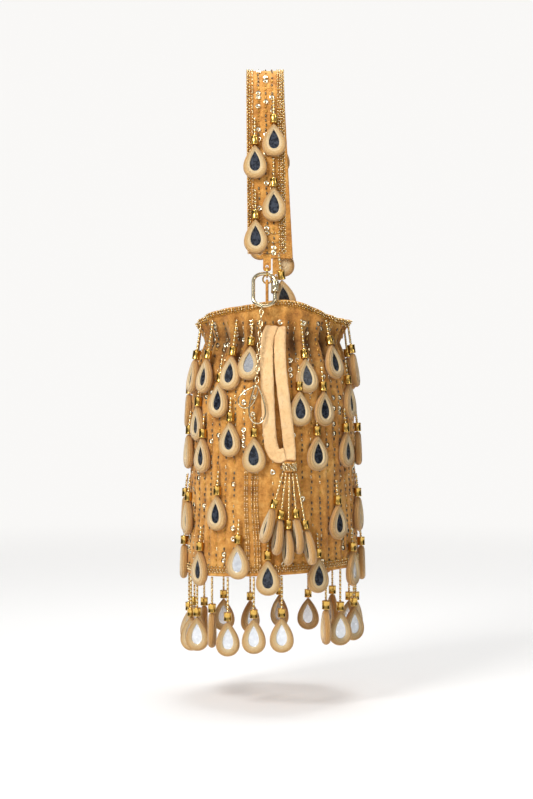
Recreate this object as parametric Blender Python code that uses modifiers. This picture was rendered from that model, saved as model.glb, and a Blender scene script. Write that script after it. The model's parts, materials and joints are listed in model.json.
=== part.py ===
# Potli bag: a gathered velvet drawstring pouch hung on a beaded wrist handle, with mirror charms all round.
# Metres, +Z up. The origin is the point the bag hangs from: the inside top of the handle's loop.
# X runs to the right, Y away from the front. An azimuth is measured round the bag's axis from its front,
# positive to the right.

import math

import bmesh
import bpy
from mathutils import Matrix, Vector

MM = 0.001
GAP = 0.3 * MM  # between pieces that touch or are sewn together

# Heights below the hang point: each is measured from the one above it, because the bag hangs from the rings
RING_DROP = 151.2 * MM
RIM_BELOW_RING = 28.3 * MM
FRILL_HEIGHT = 21.5 * MM
SHOULDER_BELOW_NECK = 44 * MM
BODY_HEIGHT = 123.5 * MM
RIM_DROP = RING_DROP + RIM_BELOW_RING  # mean height of the rim
NECK_DROP = RIM_DROP + FRILL_HEIGHT
SHOULDER_DROP = NECK_DROP + SHOULDER_BELOW_NECK
HEM_DROP = SHOULDER_DROP + BODY_HEIGHT

# Wall of the bag, from the rim of the frill to the hem
BAG_X = 5.6 * MM
RIM_LIFT = 6.5 * MM  # the rim stands higher at front and back, lower at the sides
RIM_RADIUS = 53.7 * MM
RIM_OVAL = 4.7 * MM  # the mouth is pressed flat: wider to the sides than front to back
RIM_WAVES = 5
RIM_WAVE = 1.1 * MM
NECK_RADIUS = 49.2 * MM
NECK_OVAL = 1.7 * MM
SHOULDER_RADIUS = 61 * MM
HEM_RADIUS = 65 * MM
HEM_TILT = 0.05  # rise of the hem for each metre to the right
PLEATS = 12
PLEAT_DEPTH = 2.4 * MM
WALL = 2 * MM

# Lining and base
LINING = 1.2 * MM
LINING_GAP = 0.8 * MM
LINING_SEGMENTS = 32
CASING_HEIGHT = 9 * MM
BASE_THICKNESS = 2.2 * MM

# Handle: a flat velvet strap folded over into a loop, with a tab at each end
STRAP_WIDTH = 28 * MM
STRAP_THICKNESS = 3 * MM
STRAP_SPREAD = 42 * MM  # how far each end stands from the middle
FRONT_STRAP_DROP = 137.7 * MM
BACK_STRAP_DROP = 134 * MM
FRONT_STRAP_X = 1.4 * MM
BACK_STRAP_X = 7.6 * MM
TAB_WIDTH = 5.8 * MM
TAB_THICKNESS = 1.8 * MM
TAB_HOLE = 1.2 * MM
TAB_MARGIN = 2.2 * MM

# Rings between the handle and the bag
FRONT_RING_X = 1.5 * MM
BACK_RING_X = 8.7 * MM
UPPER_RING = 3.8 * MM
LOWER_RING = 3.0 * MM
RING_WIRE = 0.6 * MM
LOWER_RING_SHIFT = 1.4 * MM  # the lower ring sits beside the quick link on the upper ring
BAG_LOOP = 1.1 * MM  # radius of the velvet loops at the mouth
BAG_LOOP_DEPTH = 6 * MM  # how far they reach below the rim

# Quick link: an oval rod with a screw sleeve on its right leg
LINK_X = -0.6 * MM
LINK_HALF_WIDTH = 7.8 * MM
LINK_LEG = 14 * MM
LINK_BOW = 6.2 * MM
LINK_ROD = 1.35 * MM
LINK_LEAN = math.radians(24)
LINK_SHIFT = -1.1 * MM
SLEEVE_LENGTH = 9 * MM
SLEEVE_RADIUS = 2.9 * MM
SLEEVE_CLEARANCE = 0.3 * MM
SLEEVE_TOP = 0.3 * MM  # gap between the sleeve and the top of the leg
LINK_OPENING = 3 * MM

# Chain and the two wire pendants
CHAIN_X = -2.2 * MM
CHAIN_END_X = -6.0 * MM
CHAIN_END_BELOW_RING = 81.8 * MM
CHAIN_END_ROOM = 6.6 * MM  # from the wall to the end ring's middle
CHAIN_LINKS = 13
CHAIN_WIRE = 0.36 * MM
CHAIN_WIDTH = 2.3 * MM
JUMP_RING = 2.4 * MM
END_RING = 2.2 * MM
PENDANT_WIRE = 0.6 * MM
PENDANT_SPACING = 0.95 * MM
SMALL_PENDANT = (12 * MM, 19 * MM)
LARGE_PENDANT = (13.5 * MM, 27 * MM)
SMALL_PENDANT_TILT = math.radians(-40)
LARGE_PENDANT_TILT = math.radians(2)

# Drawstring: a soft velvet tube that runs round the neck and comes out at the front in two strands
CORD_RADIUS = 2 * MM
STRAND_WIDTH = 10 * MM
STRAND_THICKNESS = 4.4 * MM
SLOT_X = 7.2 * MM
SLOT_WIDTH = 19 * MM
SLOT_HEIGHT = 11 * MM
SLOT_ABOVE_NECK = 9 * MM
WRAP_RADIUS = 5.2 * MM
WRAP_LENGTH = 7 * MM
WRAP_X = 17.4 * MM
WRAP_DROP = NECK_DROP + 86.2 * MM

# Charms: a beaded string, a metal cap and a padded drop with a mirror in it
STRING_RADIUS = 0.9 * MM
CAP_RADIUS = 3.15 * MM
CAP_HEIGHT = 6.4 * MM
DROP_WIDTH = 17 * MM
DROP_LENGTH = 25.5 * MM
DROP_THICKNESS = 5.4 * MM
CAP_FLAT = math.cos(math.pi / 6)  # from the middle of a six-sided cap to its flats, against its corners
SEWN_SINK = 1.1 * MM  # how far a charm that is sewn down sits in the velvet

STRAP_FRONT_CHARMS = [  # across the strap, height of the cap, string length
    (6.0, -39.8, 15.0),
    (-8.0, -55.6, 15.0),
    (5.4, -86.7, 16.0),
    (-8.0, -110.2, 16.0),
]
STRAP_BACK_CHARMS = [
    (7.0, -42.0, 15.0),
    (-8.0, -60.0, 15.0),
    (-11.0, -107.0, 12.0),
    (6.4, -120.0, 15.0),
]
MOUTH_CHARM = (10.0, 12.0)  # place across, string length, below the front end of the strap
MOUTH_CHARM_LEAN = math.radians(8)
MOUTH_CHARM_SLANT = math.radians(7)

FRILL_STRING_DROP = NECK_DROP - 15.5 * MM
STRING_BELOW_RIM = 3 * MM  # no string on the frill starts nearer to the rim
# Charms round the bag: azimuth in degrees, height of the cap above the neck in millimetres
FRILL_HANGING = [(-71, -10), (-53, -10), (48, 0), (80, -5), (126, -5), (180, -3), (234, -5)]
FRILL_SEWN = [(-31, -8), (-17, -1), (24, -10), (106, -7), (153, -3), (207, -2), (254, -8)]
FRONT_ROWS = [
    [(-90, -35), (-60, -44), (-39, -27), (18, -33), (36, -33), (65, -28)],
    [(-53, -67), (-76, -65), (-29, -55), (-12, -66), (30, -65), (57, -63), (90, -63)],
    [(-90, -112), (-73, -114), (-38, -108), (46, -115), (75, -111)],
    [(-83, -147), (-53, -149), (-22, -142), (-3, -153), (29, -152), (61.5, -150), (85, -148)],
]
BACK_ROWS = [(-42, 6), (-74, 6), (-111, 5), (-147, 6)]  # mean height of the caps, charms in the row
BACK_ROW_ARC = 128.0  # degrees
BACK_ROW_STAGGER = 3.0

HEM_CHARMS = [  # azimuth, string length, turn of the drop
    (-92, 23.0, 47),
    (-74.2, 25.0, 50),
    (-61.8, 23.5, 55),
    (-44.4, 19.5, -50),
    (-31, 25.0, 36),
    (-12.5, 23.0, 8),
    (5.8, 23.0, -8),
    (37.6, 20.8, 62),
    (51.5, 23.5, -40),
    (73, 23.5, -45),
    (93.8, 22.0, -35),
    (111, 24.0, 40),
    (132, 21.0, -20),
    (153.3, 24.5, 15),
    (174.7, 22.0, -35),
    (196, 25.0, 20),
    (217.3, 21.0, -40),
    (237, 24.0, 35),
    (251.5, 21.5, -50),
]

TASSEL = [(1.8, 20.0), (9.1, 27.0), (16.4, 33.6), (23.3, 26.0), (31.6, 34.4)]  # place of each drop, string
TASSEL_TOP_SPACING = 2.3 * MM
TASSEL_YAWS = [-74, -77, -75, -77, -74]

VELVET = ("golden_velvet", (0.60, 0.33, 0.11), 0.9, 0.0)
PEACH = ("peach_velvet", (0.80, 0.53, 0.30), 0.9, 0.0)
SATIN = ("peach_lining", (0.78, 0.55, 0.36), 0.7, 0.0)
GOLD = ("gold", (0.85, 0.62, 0.22), 0.25, 1.0)
SILVER = ("pale_gold", (0.86, 0.80, 0.66), 0.2, 1.0)
CHARM = ("padded_drop", (0.78, 0.55, 0.29), 0.8, 0.0)


def clear_scene():
    for obj in list(bpy.data.objects):
        bpy.data.objects.remove(obj, do_unlink=True)


def make_collection(name):
    collection = bpy.data.collections.new(name)
    bpy.context.scene.collection.children.link(collection)
    return collection


clear_scene()
bag = make_collection("potli_bag")
cutters = make_collection("cutters")
sewn_charms = make_collection("sewn_charms")


def get_material(finish):
    name, colour, roughness, metallic = finish
    if name in bpy.data.materials:
        return bpy.data.materials[name]
    material = bpy.data.materials.new(name)
    material.use_nodes = True
    shader = material.node_tree.nodes["Principled BSDF"]
    shader.inputs["Base Color"].default_value = (*colour, 1)
    shader.inputs["Roughness"].default_value = roughness
    shader.inputs["Metallic"].default_value = metallic
    material.diffuse_color = (*colour, 1)
    return material


def add_object(name, mesh, finish, collection=None):
    mesh.materials.append(get_material(finish))
    obj = bpy.data.objects.new(name, mesh)
    (collection or bag).objects.link(obj)
    return obj


def as_cutter(obj):
    obj.hide_render = True
    obj.display_type = "WIRE"


def loft(name, rings, finish, collection=None, closed=False):
    # joins rings of points, equal in number, with quads; an open run gets a flat face at each end
    count = len(rings[0])
    points = [p for ring in rings for p in ring]
    faces = []
    last = len(rings) if closed else len(rings) - 1
    for i in range(last):
        a = i * count
        b = (i + 1) % len(rings) * count
        for j in range(count):
            k = (j + 1) % count
            faces.append((a + j, b + j, b + k, a + k))
    if not closed:
        faces.append(tuple(range(count)))
        faces.append(tuple(len(points) - 1 - j for j in range(count)))
    mesh = bpy.data.meshes.new(name)
    mesh.from_pydata(points, [], faces)
    form = bmesh.new()
    form.from_mesh(mesh)
    bmesh.ops.recalc_face_normals(form, faces=form.faces)
    form.to_mesh(mesh)
    form.free()
    return add_object(name, mesh, finish, collection)


def smooth_path(points, count):
    # count points, evenly spaced in the parameter, on a Catmull-Rom curve through the given ones
    p = [Vector(q) for q in points]
    p = [2 * p[0] - p[1], *p, 2 * p[-1] - p[-2]]
    path = []
    for i in range(count):
        t = i / (count - 1) * (len(points) - 1)
        k = min(int(t), len(points) - 2)
        t -= k
        a, b, c, d = p[k : k + 4]
        bend = (2 * a - 5 * b + 4 * c - d) * t**2 + (3 * b - a - 3 * c + d) * t**3
        path.append(0.5 * (2 * b + (c - a) * t + bend))
    return path


def wire_ring(name, centre, radius, wire, normal, finish, segments=14, sides=6):
    # a round ring of wire whose axis is normal
    turn = Vector((0, 0, 1)).rotation_difference(Vector(normal)).to_matrix()
    rings = []
    for i in range(segments):
        a = math.tau * i / segments
        ring = []
        for j in range(sides):
            b = math.tau * (j + 0.5) / sides
            r = radius + wire * math.cos(b)
            point = Vector((r * math.cos(a), r * math.sin(a), wire * math.sin(b)))
            ring.append(Vector(centre) + (turn @ point))
        rings.append(ring)
    return loft(name, rings, finish, closed=True)


def rod(name, points, radius, finish, cyclic=False, resolution=2):
    # a wire along a run of points, as a mesh
    curve = bpy.data.curves.new(name, "CURVE")
    curve.dimensions = "3D"
    curve.bevel_depth = radius
    curve.bevel_resolution = resolution
    curve.use_fill_caps = True
    spline = curve.splines.new("POLY")
    spline.points.add(len(points) - 1)
    for place, point in zip(spline.points, points):
        place.co = (*point, 1)
    spline.use_cyclic_u = cyclic
    guide = bpy.data.objects.new(name + "_guide", curve)
    bag.objects.link(guide)
    bpy.context.view_layer.update()
    mesh = bpy.data.meshes.new_from_object(guide.evaluated_get(bpy.context.evaluated_depsgraph_get()))
    bpy.data.objects.remove(guide, do_unlink=True)
    mesh.name = name
    form = bmesh.new()
    form.from_mesh(mesh)
    bmesh.ops.remove_doubles(form, verts=form.verts, dist=1e-6)
    bmesh.ops.recalc_face_normals(form, faces=form.faces)
    form.to_mesh(mesh)
    form.free()
    mesh.materials.clear()
    return add_object(name, mesh, finish)


def boolean(obj, operation, other):
    modifier = obj.modifiers.new(operation.lower(), "BOOLEAN")
    modifier.operation = operation
    modifier.solver = "EXACT"
    if isinstance(other, bpy.types.Collection):
        modifier.operand_type = "COLLECTION"
        modifier.collection = other
    else:
        modifier.object = other
    return modifier


def fuse(target, others):
    # joins closed bodies that meet into one, and keeps the first one's name
    for other in others:
        boolean(target, "UNION", other)
    bpy.context.view_layer.update()
    mesh = bpy.data.meshes.new_from_object(target.evaluated_get(bpy.context.evaluated_depsgraph_get()))
    target.modifiers.clear()
    target.data = mesh
    for other in others:
        bpy.data.objects.remove(other, do_unlink=True)
    return target


def blend(low, high, share):
    return low + (high - low) * share


def above_neck(height):
    return -NECK_DROP + height * MM


def rim_height(azimuth):
    return -RIM_DROP + RIM_LIFT * math.cos(2 * azimuth) + RIM_WAVE * math.sin(RIM_WAVES * azimuth)


def wall_radius(azimuth, height):
    # the outside of the wall between its pleats: flared frill, neck, rounded shoulder and straight body
    rim = RIM_RADIUS - RIM_OVAL * math.cos(2 * azimuth) + RIM_WAVE * math.sin(RIM_WAVES * azimuth)
    neck = NECK_RADIUS - NECK_OVAL * math.cos(2 * azimuth)
    if height >= -NECK_DROP:
        up = min((height + NECK_DROP) / (rim_height(azimuth) + NECK_DROP), 1)
        return blend(neck, rim, up**1.3)
    if height >= -SHOULDER_DROP:
        down = (-NECK_DROP - height) / (SHOULDER_DROP - NECK_DROP)
        return blend(neck, SHOULDER_RADIUS, math.sin(down * math.pi / 2) ** 0.9)
    down = (-SHOULDER_DROP - height) / (HEM_DROP - SHOULDER_DROP)
    return blend(SHOULDER_RADIUS, HEM_RADIUS, min(down, 1))


def pleat_depth(height):
    # how far the wall is drawn in between the crests of its pleats, deepest at the neck
    if height >= -NECK_DROP:
        up = (height + NECK_DROP) / (RIM_LIFT + NECK_DROP - RIM_DROP)
        share = blend(1, 0.3, min(up, 1))
    else:
        share = max(1 - (-NECK_DROP - height) / (SHOULDER_DROP - NECK_DROP), 0) ** 1.5
    return PLEAT_DEPTH * share


def pleat(azimuth, height):
    return pleat_depth(height) * (1 - math.cos(PLEATS * azimuth)) / 2


def tilt(azimuth, height):
    # the hem hangs out of level, and the wall above it takes up the tilt little by little
    share = max((-SHOULDER_DROP - height) / (HEM_DROP - SHOULDER_DROP), 0)
    return HEM_TILT * share * wall_radius(azimuth, height) * math.sin(azimuth)


def outward(azimuth):
    return Vector((math.sin(azimuth), -math.cos(azimuth), 0))


def wall_point(azimuth, height, stand_off=0.0):
    place = Vector((BAG_X, 0, height + tilt(azimuth, height)))
    return place + outward(azimuth) * (wall_radius(azimuth, height) + stand_off)


def tube_surface(name, rows, finish):
    # an open wall from closed rows of points, top row first, facing out
    count = len(rows[0])
    points = [p for row in rows for p in row]
    faces = []
    for i in range(len(rows) - 1):
        for j in range(count):
            k = (j + 1) % count
            faces.append((i * count + j, (i + 1) * count + j, (i + 1) * count + k, i * count + k))
    mesh = bpy.data.meshes.new(name)
    mesh.from_pydata(points, [], faces)
    return add_object(name, mesh, finish)


def solidify(obj, thickness, offset=-1.0):
    modifier = obj.modifiers.new("thickness", "SOLIDIFY")
    modifier.thickness = thickness
    modifier.offset = offset
    modifier.use_even_offset = True
    return modifier


def build_shell():
    azimuths = [math.tau * j / (4 * PLEATS) for j in range(4 * PLEATS)]
    rows = []
    for share in (1.0, 0.72, 0.42, 0.18):
        row = []
        for a in azimuths:
            height = blend(-NECK_DROP, rim_height(a), share)
            row.append(wall_point(a, height, -pleat(a, height)))
        rows.append(row)
    shoulder = [blend(-NECK_DROP, -SHOULDER_DROP, share) for share in (0.0, 0.14, 0.32, 0.6, 1.0)]
    body = [blend(-SHOULDER_DROP, -HEM_DROP, share) for share in (0.34, 0.68, 1.0)]
    for height in shoulder + body:
        rows.append([wall_point(a, height, -pleat(a, height)) for a in azimuths])
    shell = tube_surface("bag_shell", rows, VELVET)
    solidify(shell, WALL)
    return shell


def lining_radius(azimuth, height):
    # the lining follows the wall, but stands away from it at the neck, where the drawstring runs
    room = WALL + LINING_GAP + pleat_depth(height)
    tunnel = WALL + PLEAT_DEPTH + 2 * CORD_RADIUS + 4 * GAP
    above = (height + NECK_DROP - CASING_HEIGHT) / (CASING_HEIGHT * 0.5)
    below = (-NECK_DROP + CASING_HEIGHT * 0.2 - height) / (CASING_HEIGHT * 1.2)
    away = 1 - min(max(above, below, 0), 1)
    return wall_radius(azimuth, height) - blend(room, max(room, tunnel), away)


def lining_point(azimuth, height):
    place = Vector((BAG_X, 0, height + tilt(azimuth, height)))
    return place + outward(azimuth) * lining_radius(azimuth, height)


def build_lining():
    azimuths = [math.tau * j / LINING_SEGMENTS for j in range(LINING_SEGMENTS)]
    top = NECK_DROP - CASING_HEIGHT * 1.5
    rows = []
    for share in (1.0, 0.5):
        rows.append([lining_point(a, blend(-top, rim_height(a) - GAP, share)) for a in azimuths])
    floor = -HEM_DROP + BASE_THICKNESS + 4 * GAP + LINING
    casing = [-top, -NECK_DROP + CASING_HEIGHT, -NECK_DROP + CASING_HEIGHT * 0.2, -NECK_DROP - CASING_HEIGHT]
    body = [-blend(NECK_DROP, SHOULDER_DROP, 0.5), -SHOULDER_DROP, floor]
    for height in casing + body:
        rows.append([lining_point(a, height) for a in azimuths])
    lining = tube_surface("lining", rows, SATIN)
    form = bmesh.new()
    form.from_mesh(lining.data)
    form.verts.ensure_lookup_table()
    last = (len(rows) - 1) * LINING_SEGMENTS
    form.faces.new([form.verts[last + j] for j in reversed(range(LINING_SEGMENTS))])
    form.to_mesh(lining.data)
    form.free()
    solidify(lining, LINING)
    return lining


def build_base():
    form = bmesh.new()
    radius = HEM_RADIUS - WALL - 2 * GAP
    bmesh.ops.create_cone(
        form, cap_ends=True, segments=4 * PLEATS, radius1=radius, radius2=radius, depth=BASE_THICKNESS
    )
    mesh = bpy.data.meshes.new("base_panel")
    form.to_mesh(mesh)
    form.free()
    base = add_object("base_panel", mesh, VELVET)
    base.location = (BAG_X, 0, -HEM_DROP + BASE_THICKNESS / 2 + 2 * GAP)
    base.rotation_euler = (0, -math.atan(HEM_TILT), 0)
    return base


def drop_outline(share):
    # half width of the teardrop, as a share of its greatest, and the share of its length, by an angle
    angle = share * math.pi
    return math.sin(angle) * math.sin(angle / 2) / 0.7698, (1 - math.cos(angle)) / 2


def charm_rings(string, tuck=0.0, shares=(0.25, 0.45, 0.64, 0.84), sides=6):
    # rings of points down a charm that hangs along -Z from its string's top, faces towards -Y
    # tuck moves the string's top towards +Y, which lets the cap lie against what the charm hangs on
    rings = []

    def add(height, half_width, half_thickness, shift=0.0):
        ring = []
        for j in range(sides):
            a = math.tau * j / sides
            flat = half_thickness / math.sin(math.tau / sides) * math.sin(a)
            ring.append(Vector((half_width * math.cos(a), flat + shift, height)))
        rings.append(ring)

    if string:
        add(0, STRING_RADIUS * 0.7, STRING_RADIUS * 0.6, tuck)
        add(-string, STRING_RADIUS, STRING_RADIUS * CAP_FLAT)
    add(-string, CAP_RADIUS, CAP_RADIUS * CAP_FLAT)
    add(-string - CAP_HEIGHT, CAP_RADIUS, CAP_RADIUS * CAP_FLAT)
    start = -string - CAP_HEIGHT
    for share in shares:
        wide, down = drop_outline(share)
        thick = DROP_THICKNESS / 2 * min(wide, 1) ** 0.35
        add(start - down * DROP_LENGTH, wide * DROP_WIDTH / 2, thick)
    return rings


def place_frame(origin, down, face, yaw=0.0):
    # a matrix that hangs a charm from origin along down, its front turned to face and then by yaw
    z = -Vector(down).normalized()
    y = -(Vector(face) - z * z.dot(Vector(face))).normalized()
    x = y.cross(z)
    turn = Matrix((x, y, z)).transposed().to_4x4()
    return Matrix.Translation(origin) @ turn @ Matrix.Rotation(yaw, 4, "Z")


def hang_charm(name, origin, down, face, string, yaw=0.0, tuck=0.0):
    rings = charm_rings(string, tuck)
    charm = loft(name, rings, CHARM)
    charm.matrix_world = place_frame(origin, down, face, yaw)
    return charm


def sew_charm(name, azimuth, cap, steep=None):
    # a charm whose cap and drop lie on the wall and are fused to it
    angle = math.radians(azimuth)
    top = above_neck(cap) + CAP_HEIGHT / 2
    bottom = top - CAP_HEIGHT - DROP_LENGTH
    stand_off = DROP_THICKNESS / 2 - SEWN_SINK
    low = wall_point(angle, bottom, stand_off)
    high = steep or wall_point(angle, top, stand_off)
    charm = loft(name, charm_rings(0.0, shares=(0.34, 0.6, 0.84)), CHARM, sewn_charms)
    share = (top - low.z) / (high.z - low.z)
    origin = low + (high - low) * share
    charm.matrix_world = place_frame(origin, low - high, outward(angle))
    as_cutter(charm)
    return charm


def frill_string_top(angle):
    height = min(-FRILL_STRING_DROP, rim_height(angle) - STRING_BELOW_RIM)
    return wall_point(angle, height, GAP + STRING_RADIUS - 0.9 * pleat(angle, height))


def build_sewn_charms():
    number = 0
    for azimuth, cap in FRILL_SEWN:
        number += 1
        sew_charm(f"sewn_{number:02d}", azimuth, cap, frill_string_top(math.radians(azimuth)))
    for row in FRONT_ROWS:
        for azimuth, cap in row:
            number += 1
            sew_charm(f"sewn_{number:02d}", azimuth, cap)
    for row, (cap, count) in enumerate(BACK_ROWS):
        shift = BACK_ROW_ARC / count / 4 * (-1) ** row
        for i in range(count):
            azimuth = 180 - BACK_ROW_ARC / 2 + (i + 0.5) * BACK_ROW_ARC / count + shift
            number += 1
            sew_charm(f"sewn_{number:02d}", azimuth, cap + BACK_ROW_STAGGER * (-1) ** i)


def build_frill_charms():
    for i, (azimuth, cap) in enumerate(FRILL_HANGING, 1):
        angle = math.radians(azimuth)
        origin = frill_string_top(angle)
        string = origin.z - above_neck(cap) - CAP_HEIGHT / 2
        bottom = origin.z - string - CAP_HEIGHT - DROP_LENGTH
        rest = wall_point(angle, bottom, DROP_THICKNESS / 2 + GAP * 2)
        hang_charm(f"frill_charm_{i}", origin, rest - origin, outward(angle), string)


def build_hem_charms():
    # each string comes from under the wall's lower edge, behind the charms that are sewn above it
    inset = SEWN_SINK + GAP + STRING_RADIUS
    below = Vector((0, 0, STRING_RADIUS * 0.8))
    for i, (azimuth, string, yaw) in enumerate(HEM_CHARMS, 1):
        angle = math.radians(azimuth)
        origin = wall_point(angle, -HEM_DROP, -inset) - below
        hang_charm(f"hem_charm_{i:02d}", origin, (0, 0, -1), outward(angle), string * MM, math.radians(yaw))


def strap_line(side, count=15):
    # the middle line of one half of the strap, from the top of the loop to its end: a Bezier curve
    drop = FRONT_STRAP_DROP if side < 0 else BACK_STRAP_DROP
    end_x = FRONT_STRAP_X if side < 0 else BACK_STRAP_X
    top = STRAP_THICKNESS / 2
    p = [(0, top), (0.71 * STRAP_SPREAD, top), (0.81 * STRAP_SPREAD, -0.64 * drop), (STRAP_SPREAD, -drop)]
    line = []
    for i in range(count):
        t = i / (count - 1)
        weights = ((1 - t) ** 3, 3 * t * (1 - t) ** 2, 3 * t**2 * (1 - t), t**3)
        y = sum(w * q[0] for w, q in zip(weights, p))
        z = sum(w * q[1] for w, q in zip(weights, p))
        line.append(Vector((end_x * (top - z) / (top + drop), side * y, z)))
    return line


def build_strap():
    line = strap_line(-1)[::-1] + strap_line(1)[1:]
    half = Vector((STRAP_WIDTH / 2, 0, 0))
    points = [p + side for p in line for side in (-half, half)]
    faces = [(2 * i, 2 * i + 1, 2 * i + 3, 2 * i + 2) for i in range(len(line) - 1)]
    mesh = bpy.data.meshes.new("handle_strap")
    mesh.from_pydata(points, [], faces)
    strap = add_object("handle_strap", mesh, VELVET)
    solidify(strap, STRAP_THICKNESS, 0.0)
    return strap


def strap_place(side, cap):
    # the point of the strap's middle line at a height, its slope's direction and its outward normal
    line = strap_line(side, 41)
    for a, b in zip(line, line[1:]):
        if b.z <= cap:
            share = (a.z - cap) / (a.z - b.z)
            down = (b - a).normalized()
            return a + (b - a) * share, down, Vector((0, side * -down.z, side * down.y)).normalized()
    raise ValueError("no such height on the strap")


def build_strap_charms():
    for side, label, charms in ((-1, "front", STRAP_FRONT_CHARMS), (1, "back", STRAP_BACK_CHARMS)):
        for i, (across, cap, string) in enumerate(charms, 1):
            place, down, normal = strap_place(side, cap * MM)
            stand_off = STRAP_THICKNESS / 2 + GAP + CAP_RADIUS * CAP_FLAT
            middle = place + normal * stand_off + Vector((across * MM, 0, 0))
            origin = middle - down * (string * MM + CAP_HEIGHT / 2)
            tuck = (CAP_RADIUS - STRING_RADIUS) * CAP_FLAT - GAP
            hang_charm(f"strap_charm_{label}_{i}", origin, down, normal, string * MM, tuck=tuck)
    across, string = MOUTH_CHARM
    origin = Vector((across * MM, -STRAP_SPREAD, -FRONT_STRAP_DROP - 2 * GAP))
    down = Vector((math.sin(MOUTH_CHARM_SLANT), math.sin(MOUTH_CHARM_LEAN), -1))
    hang_charm("strap_charm_front_5", origin, down, (0, -1, 0), string * MM)


def build_tab(name, x, side, strap_drop):
    hole = -RING_DROP + UPPER_RING + TAB_HOLE - RING_WIRE - GAP
    bottom = hole - TAB_HOLE - TAB_MARGIN
    top = -strap_drop - GAP
    form = bmesh.new()
    size = Matrix.Diagonal((TAB_WIDTH, TAB_THICKNESS, top - bottom, 1))
    middle = Matrix.Translation((x, side * STRAP_SPREAD, (top + bottom) / 2))
    bmesh.ops.create_cube(form, size=1, matrix=middle @ size)
    corners = [e for e in form.edges if abs(e.verts[0].co.y - e.verts[1].co.y) > TAB_THICKNESS / 2]
    low = [e for e in corners if e.verts[0].co.z < (top + bottom) / 2]
    bmesh.ops.bevel(form, geom=low, offset=TAB_WIDTH * 0.3, segments=2, affect="EDGES", profile=0.5)
    mesh = bpy.data.meshes.new(name)
    form.to_mesh(mesh)
    form.free()
    tab = add_object(name, mesh, VELVET)
    bpy.ops.mesh.primitive_cylinder_add(
        vertices=12,
        radius=TAB_HOLE,
        depth=TAB_THICKNESS * 3,
        location=(x, side * STRAP_SPREAD, hole),
        rotation=(math.pi / 2, 0, 0),
    )
    cutter = bpy.context.object
    cutter.name = name + "_hole"
    for collection in list(cutter.users_collection):
        collection.objects.unlink(cutter)
    cutters.objects.link(cutter)
    as_cutter(cutter)
    boolean(tab, "DIFFERENCE", cutter)
    return tab


def ring_seat(shift):
    # height of the upper ring's wire, at its foot, this far in front of or behind the ring's middle
    return -RING_DROP - math.sqrt(UPPER_RING**2 - shift**2)


def build_rings_and_loops(label, x, side):
    y = side * STRAP_SPREAD
    inner = -side * LOWER_RING_SHIFT
    wire_ring(f"ring_upper_{label}", (x, y, -RING_DROP), UPPER_RING, RING_WIRE, (1, 0, 0), GOLD)
    top = ring_seat(LOWER_RING_SHIFT) + 2 * RING_WIRE + GAP
    middle = top - LOWER_RING
    wire_ring(f"ring_lower_{label}", (x, y + inner, middle), LOWER_RING, RING_WIRE, (0, 1, 0), GOLD)
    foot = middle - LOWER_RING
    bend = RING_WIRE + GAP + BAG_LOOP
    low = rim_height(0 if side < 0 else math.pi) - BAG_LOOP_DEPTH
    azimuth = 0 if side < 0 else math.pi
    seat = side * (lining_radius(azimuth, low) - LINING - GAP * 2 - BAG_LOOP)
    spread = 2 * BAG_LOOP + GAP
    arch = []
    for i in range(7):
        a = math.pi * i / 6
        arch.append((x, y + inner + side * bend * math.cos(a), foot + bend * math.sin(a)))
    points = [(x, seat, low), *arch, (x, seat - side * spread, low)]
    rod(f"bag_loop_{label}", smooth_path(points, 17), BAG_LOOP, VELVET, resolution=1)


def link_frame():
    # the quick link hangs in the front upper ring and leans forward over the rim
    top = ring_seat(LINK_SHIFT) + RING_WIRE + LINK_ROD + 2 * GAP
    origin = Vector((LINK_X, -STRAP_SPREAD + LINK_SHIFT, top))
    return Matrix.Translation(origin) @ Matrix.Rotation(-LINK_LEAN, 4, "X")


def link_point(x, z):
    return link_frame() @ Vector((x, 0, z))


def build_link():
    # from the foot of the opening down the right leg, round by the left one and back to its head
    leg_top = -LINK_BOW
    leg_foot = -LINK_BOW - LINK_LEG
    opening = leg_top - SLEEVE_TOP - 0.5 * MM
    points = [link_point(LINK_HALF_WIDTH, opening - LINK_OPENING)]
    bend = [math.pi * i / 12 for i in range(13)]
    for a in bend:
        points.append(link_point(LINK_HALF_WIDTH * math.cos(a), leg_foot - LINK_BOW * math.sin(a)))
    for a in bend:
        points.append(link_point(-LINK_HALF_WIDTH * math.cos(a), leg_top + LINK_BOW * math.sin(a)))
    points.append(link_point(LINK_HALF_WIDTH, opening))
    rod("quick_link", points, LINK_ROD, SILVER, resolution=1)

    bore = LINK_ROD + SLEEVE_CLEARANCE
    high = leg_top - SLEEVE_TOP
    rings = []
    for radius, height in (
        (bore, high),
        (SLEEVE_RADIUS, high),
        (SLEEVE_RADIUS, high - SLEEVE_LENGTH),
        (bore, high - SLEEVE_LENGTH),
    ):
        ring = []
        for j in range(12):
            a = math.tau * j / 12
            ring.append(
                link_frame() @ Vector((LINK_HALF_WIDTH + radius * math.cos(a), radius * math.sin(a), height))
            )
        rings.append(ring)
    loft("link_sleeve", rings, SILVER, closed=True)


def chain_link_points(middle, down, across, half_length, half_width):
    points = []
    for a in [math.tau * i / 8 for i in range(8)]:
        straight = 0
        if abs(math.sin(a)) > 0.1:
            straight = math.copysign(half_length - half_width, math.sin(a))
        along = straight + half_width * math.sin(a)
        points.append(middle + down * along + across * half_width * math.cos(a))
    return points


def chain_start():
    foot = -2 * LINK_BOW - LINK_LEG
    x = CHAIN_X - LINK_X
    bow = LINK_BOW * (1 - math.sqrt(1 - (x / LINK_HALF_WIDTH) ** 2))
    return link_point(x, foot + bow)


def chain_end():
    height = -RING_DROP - CHAIN_END_BELOW_RING
    return Vector((CHAIN_END_X, front_depth(height, CHAIN_END_ROOM), height))


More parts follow.
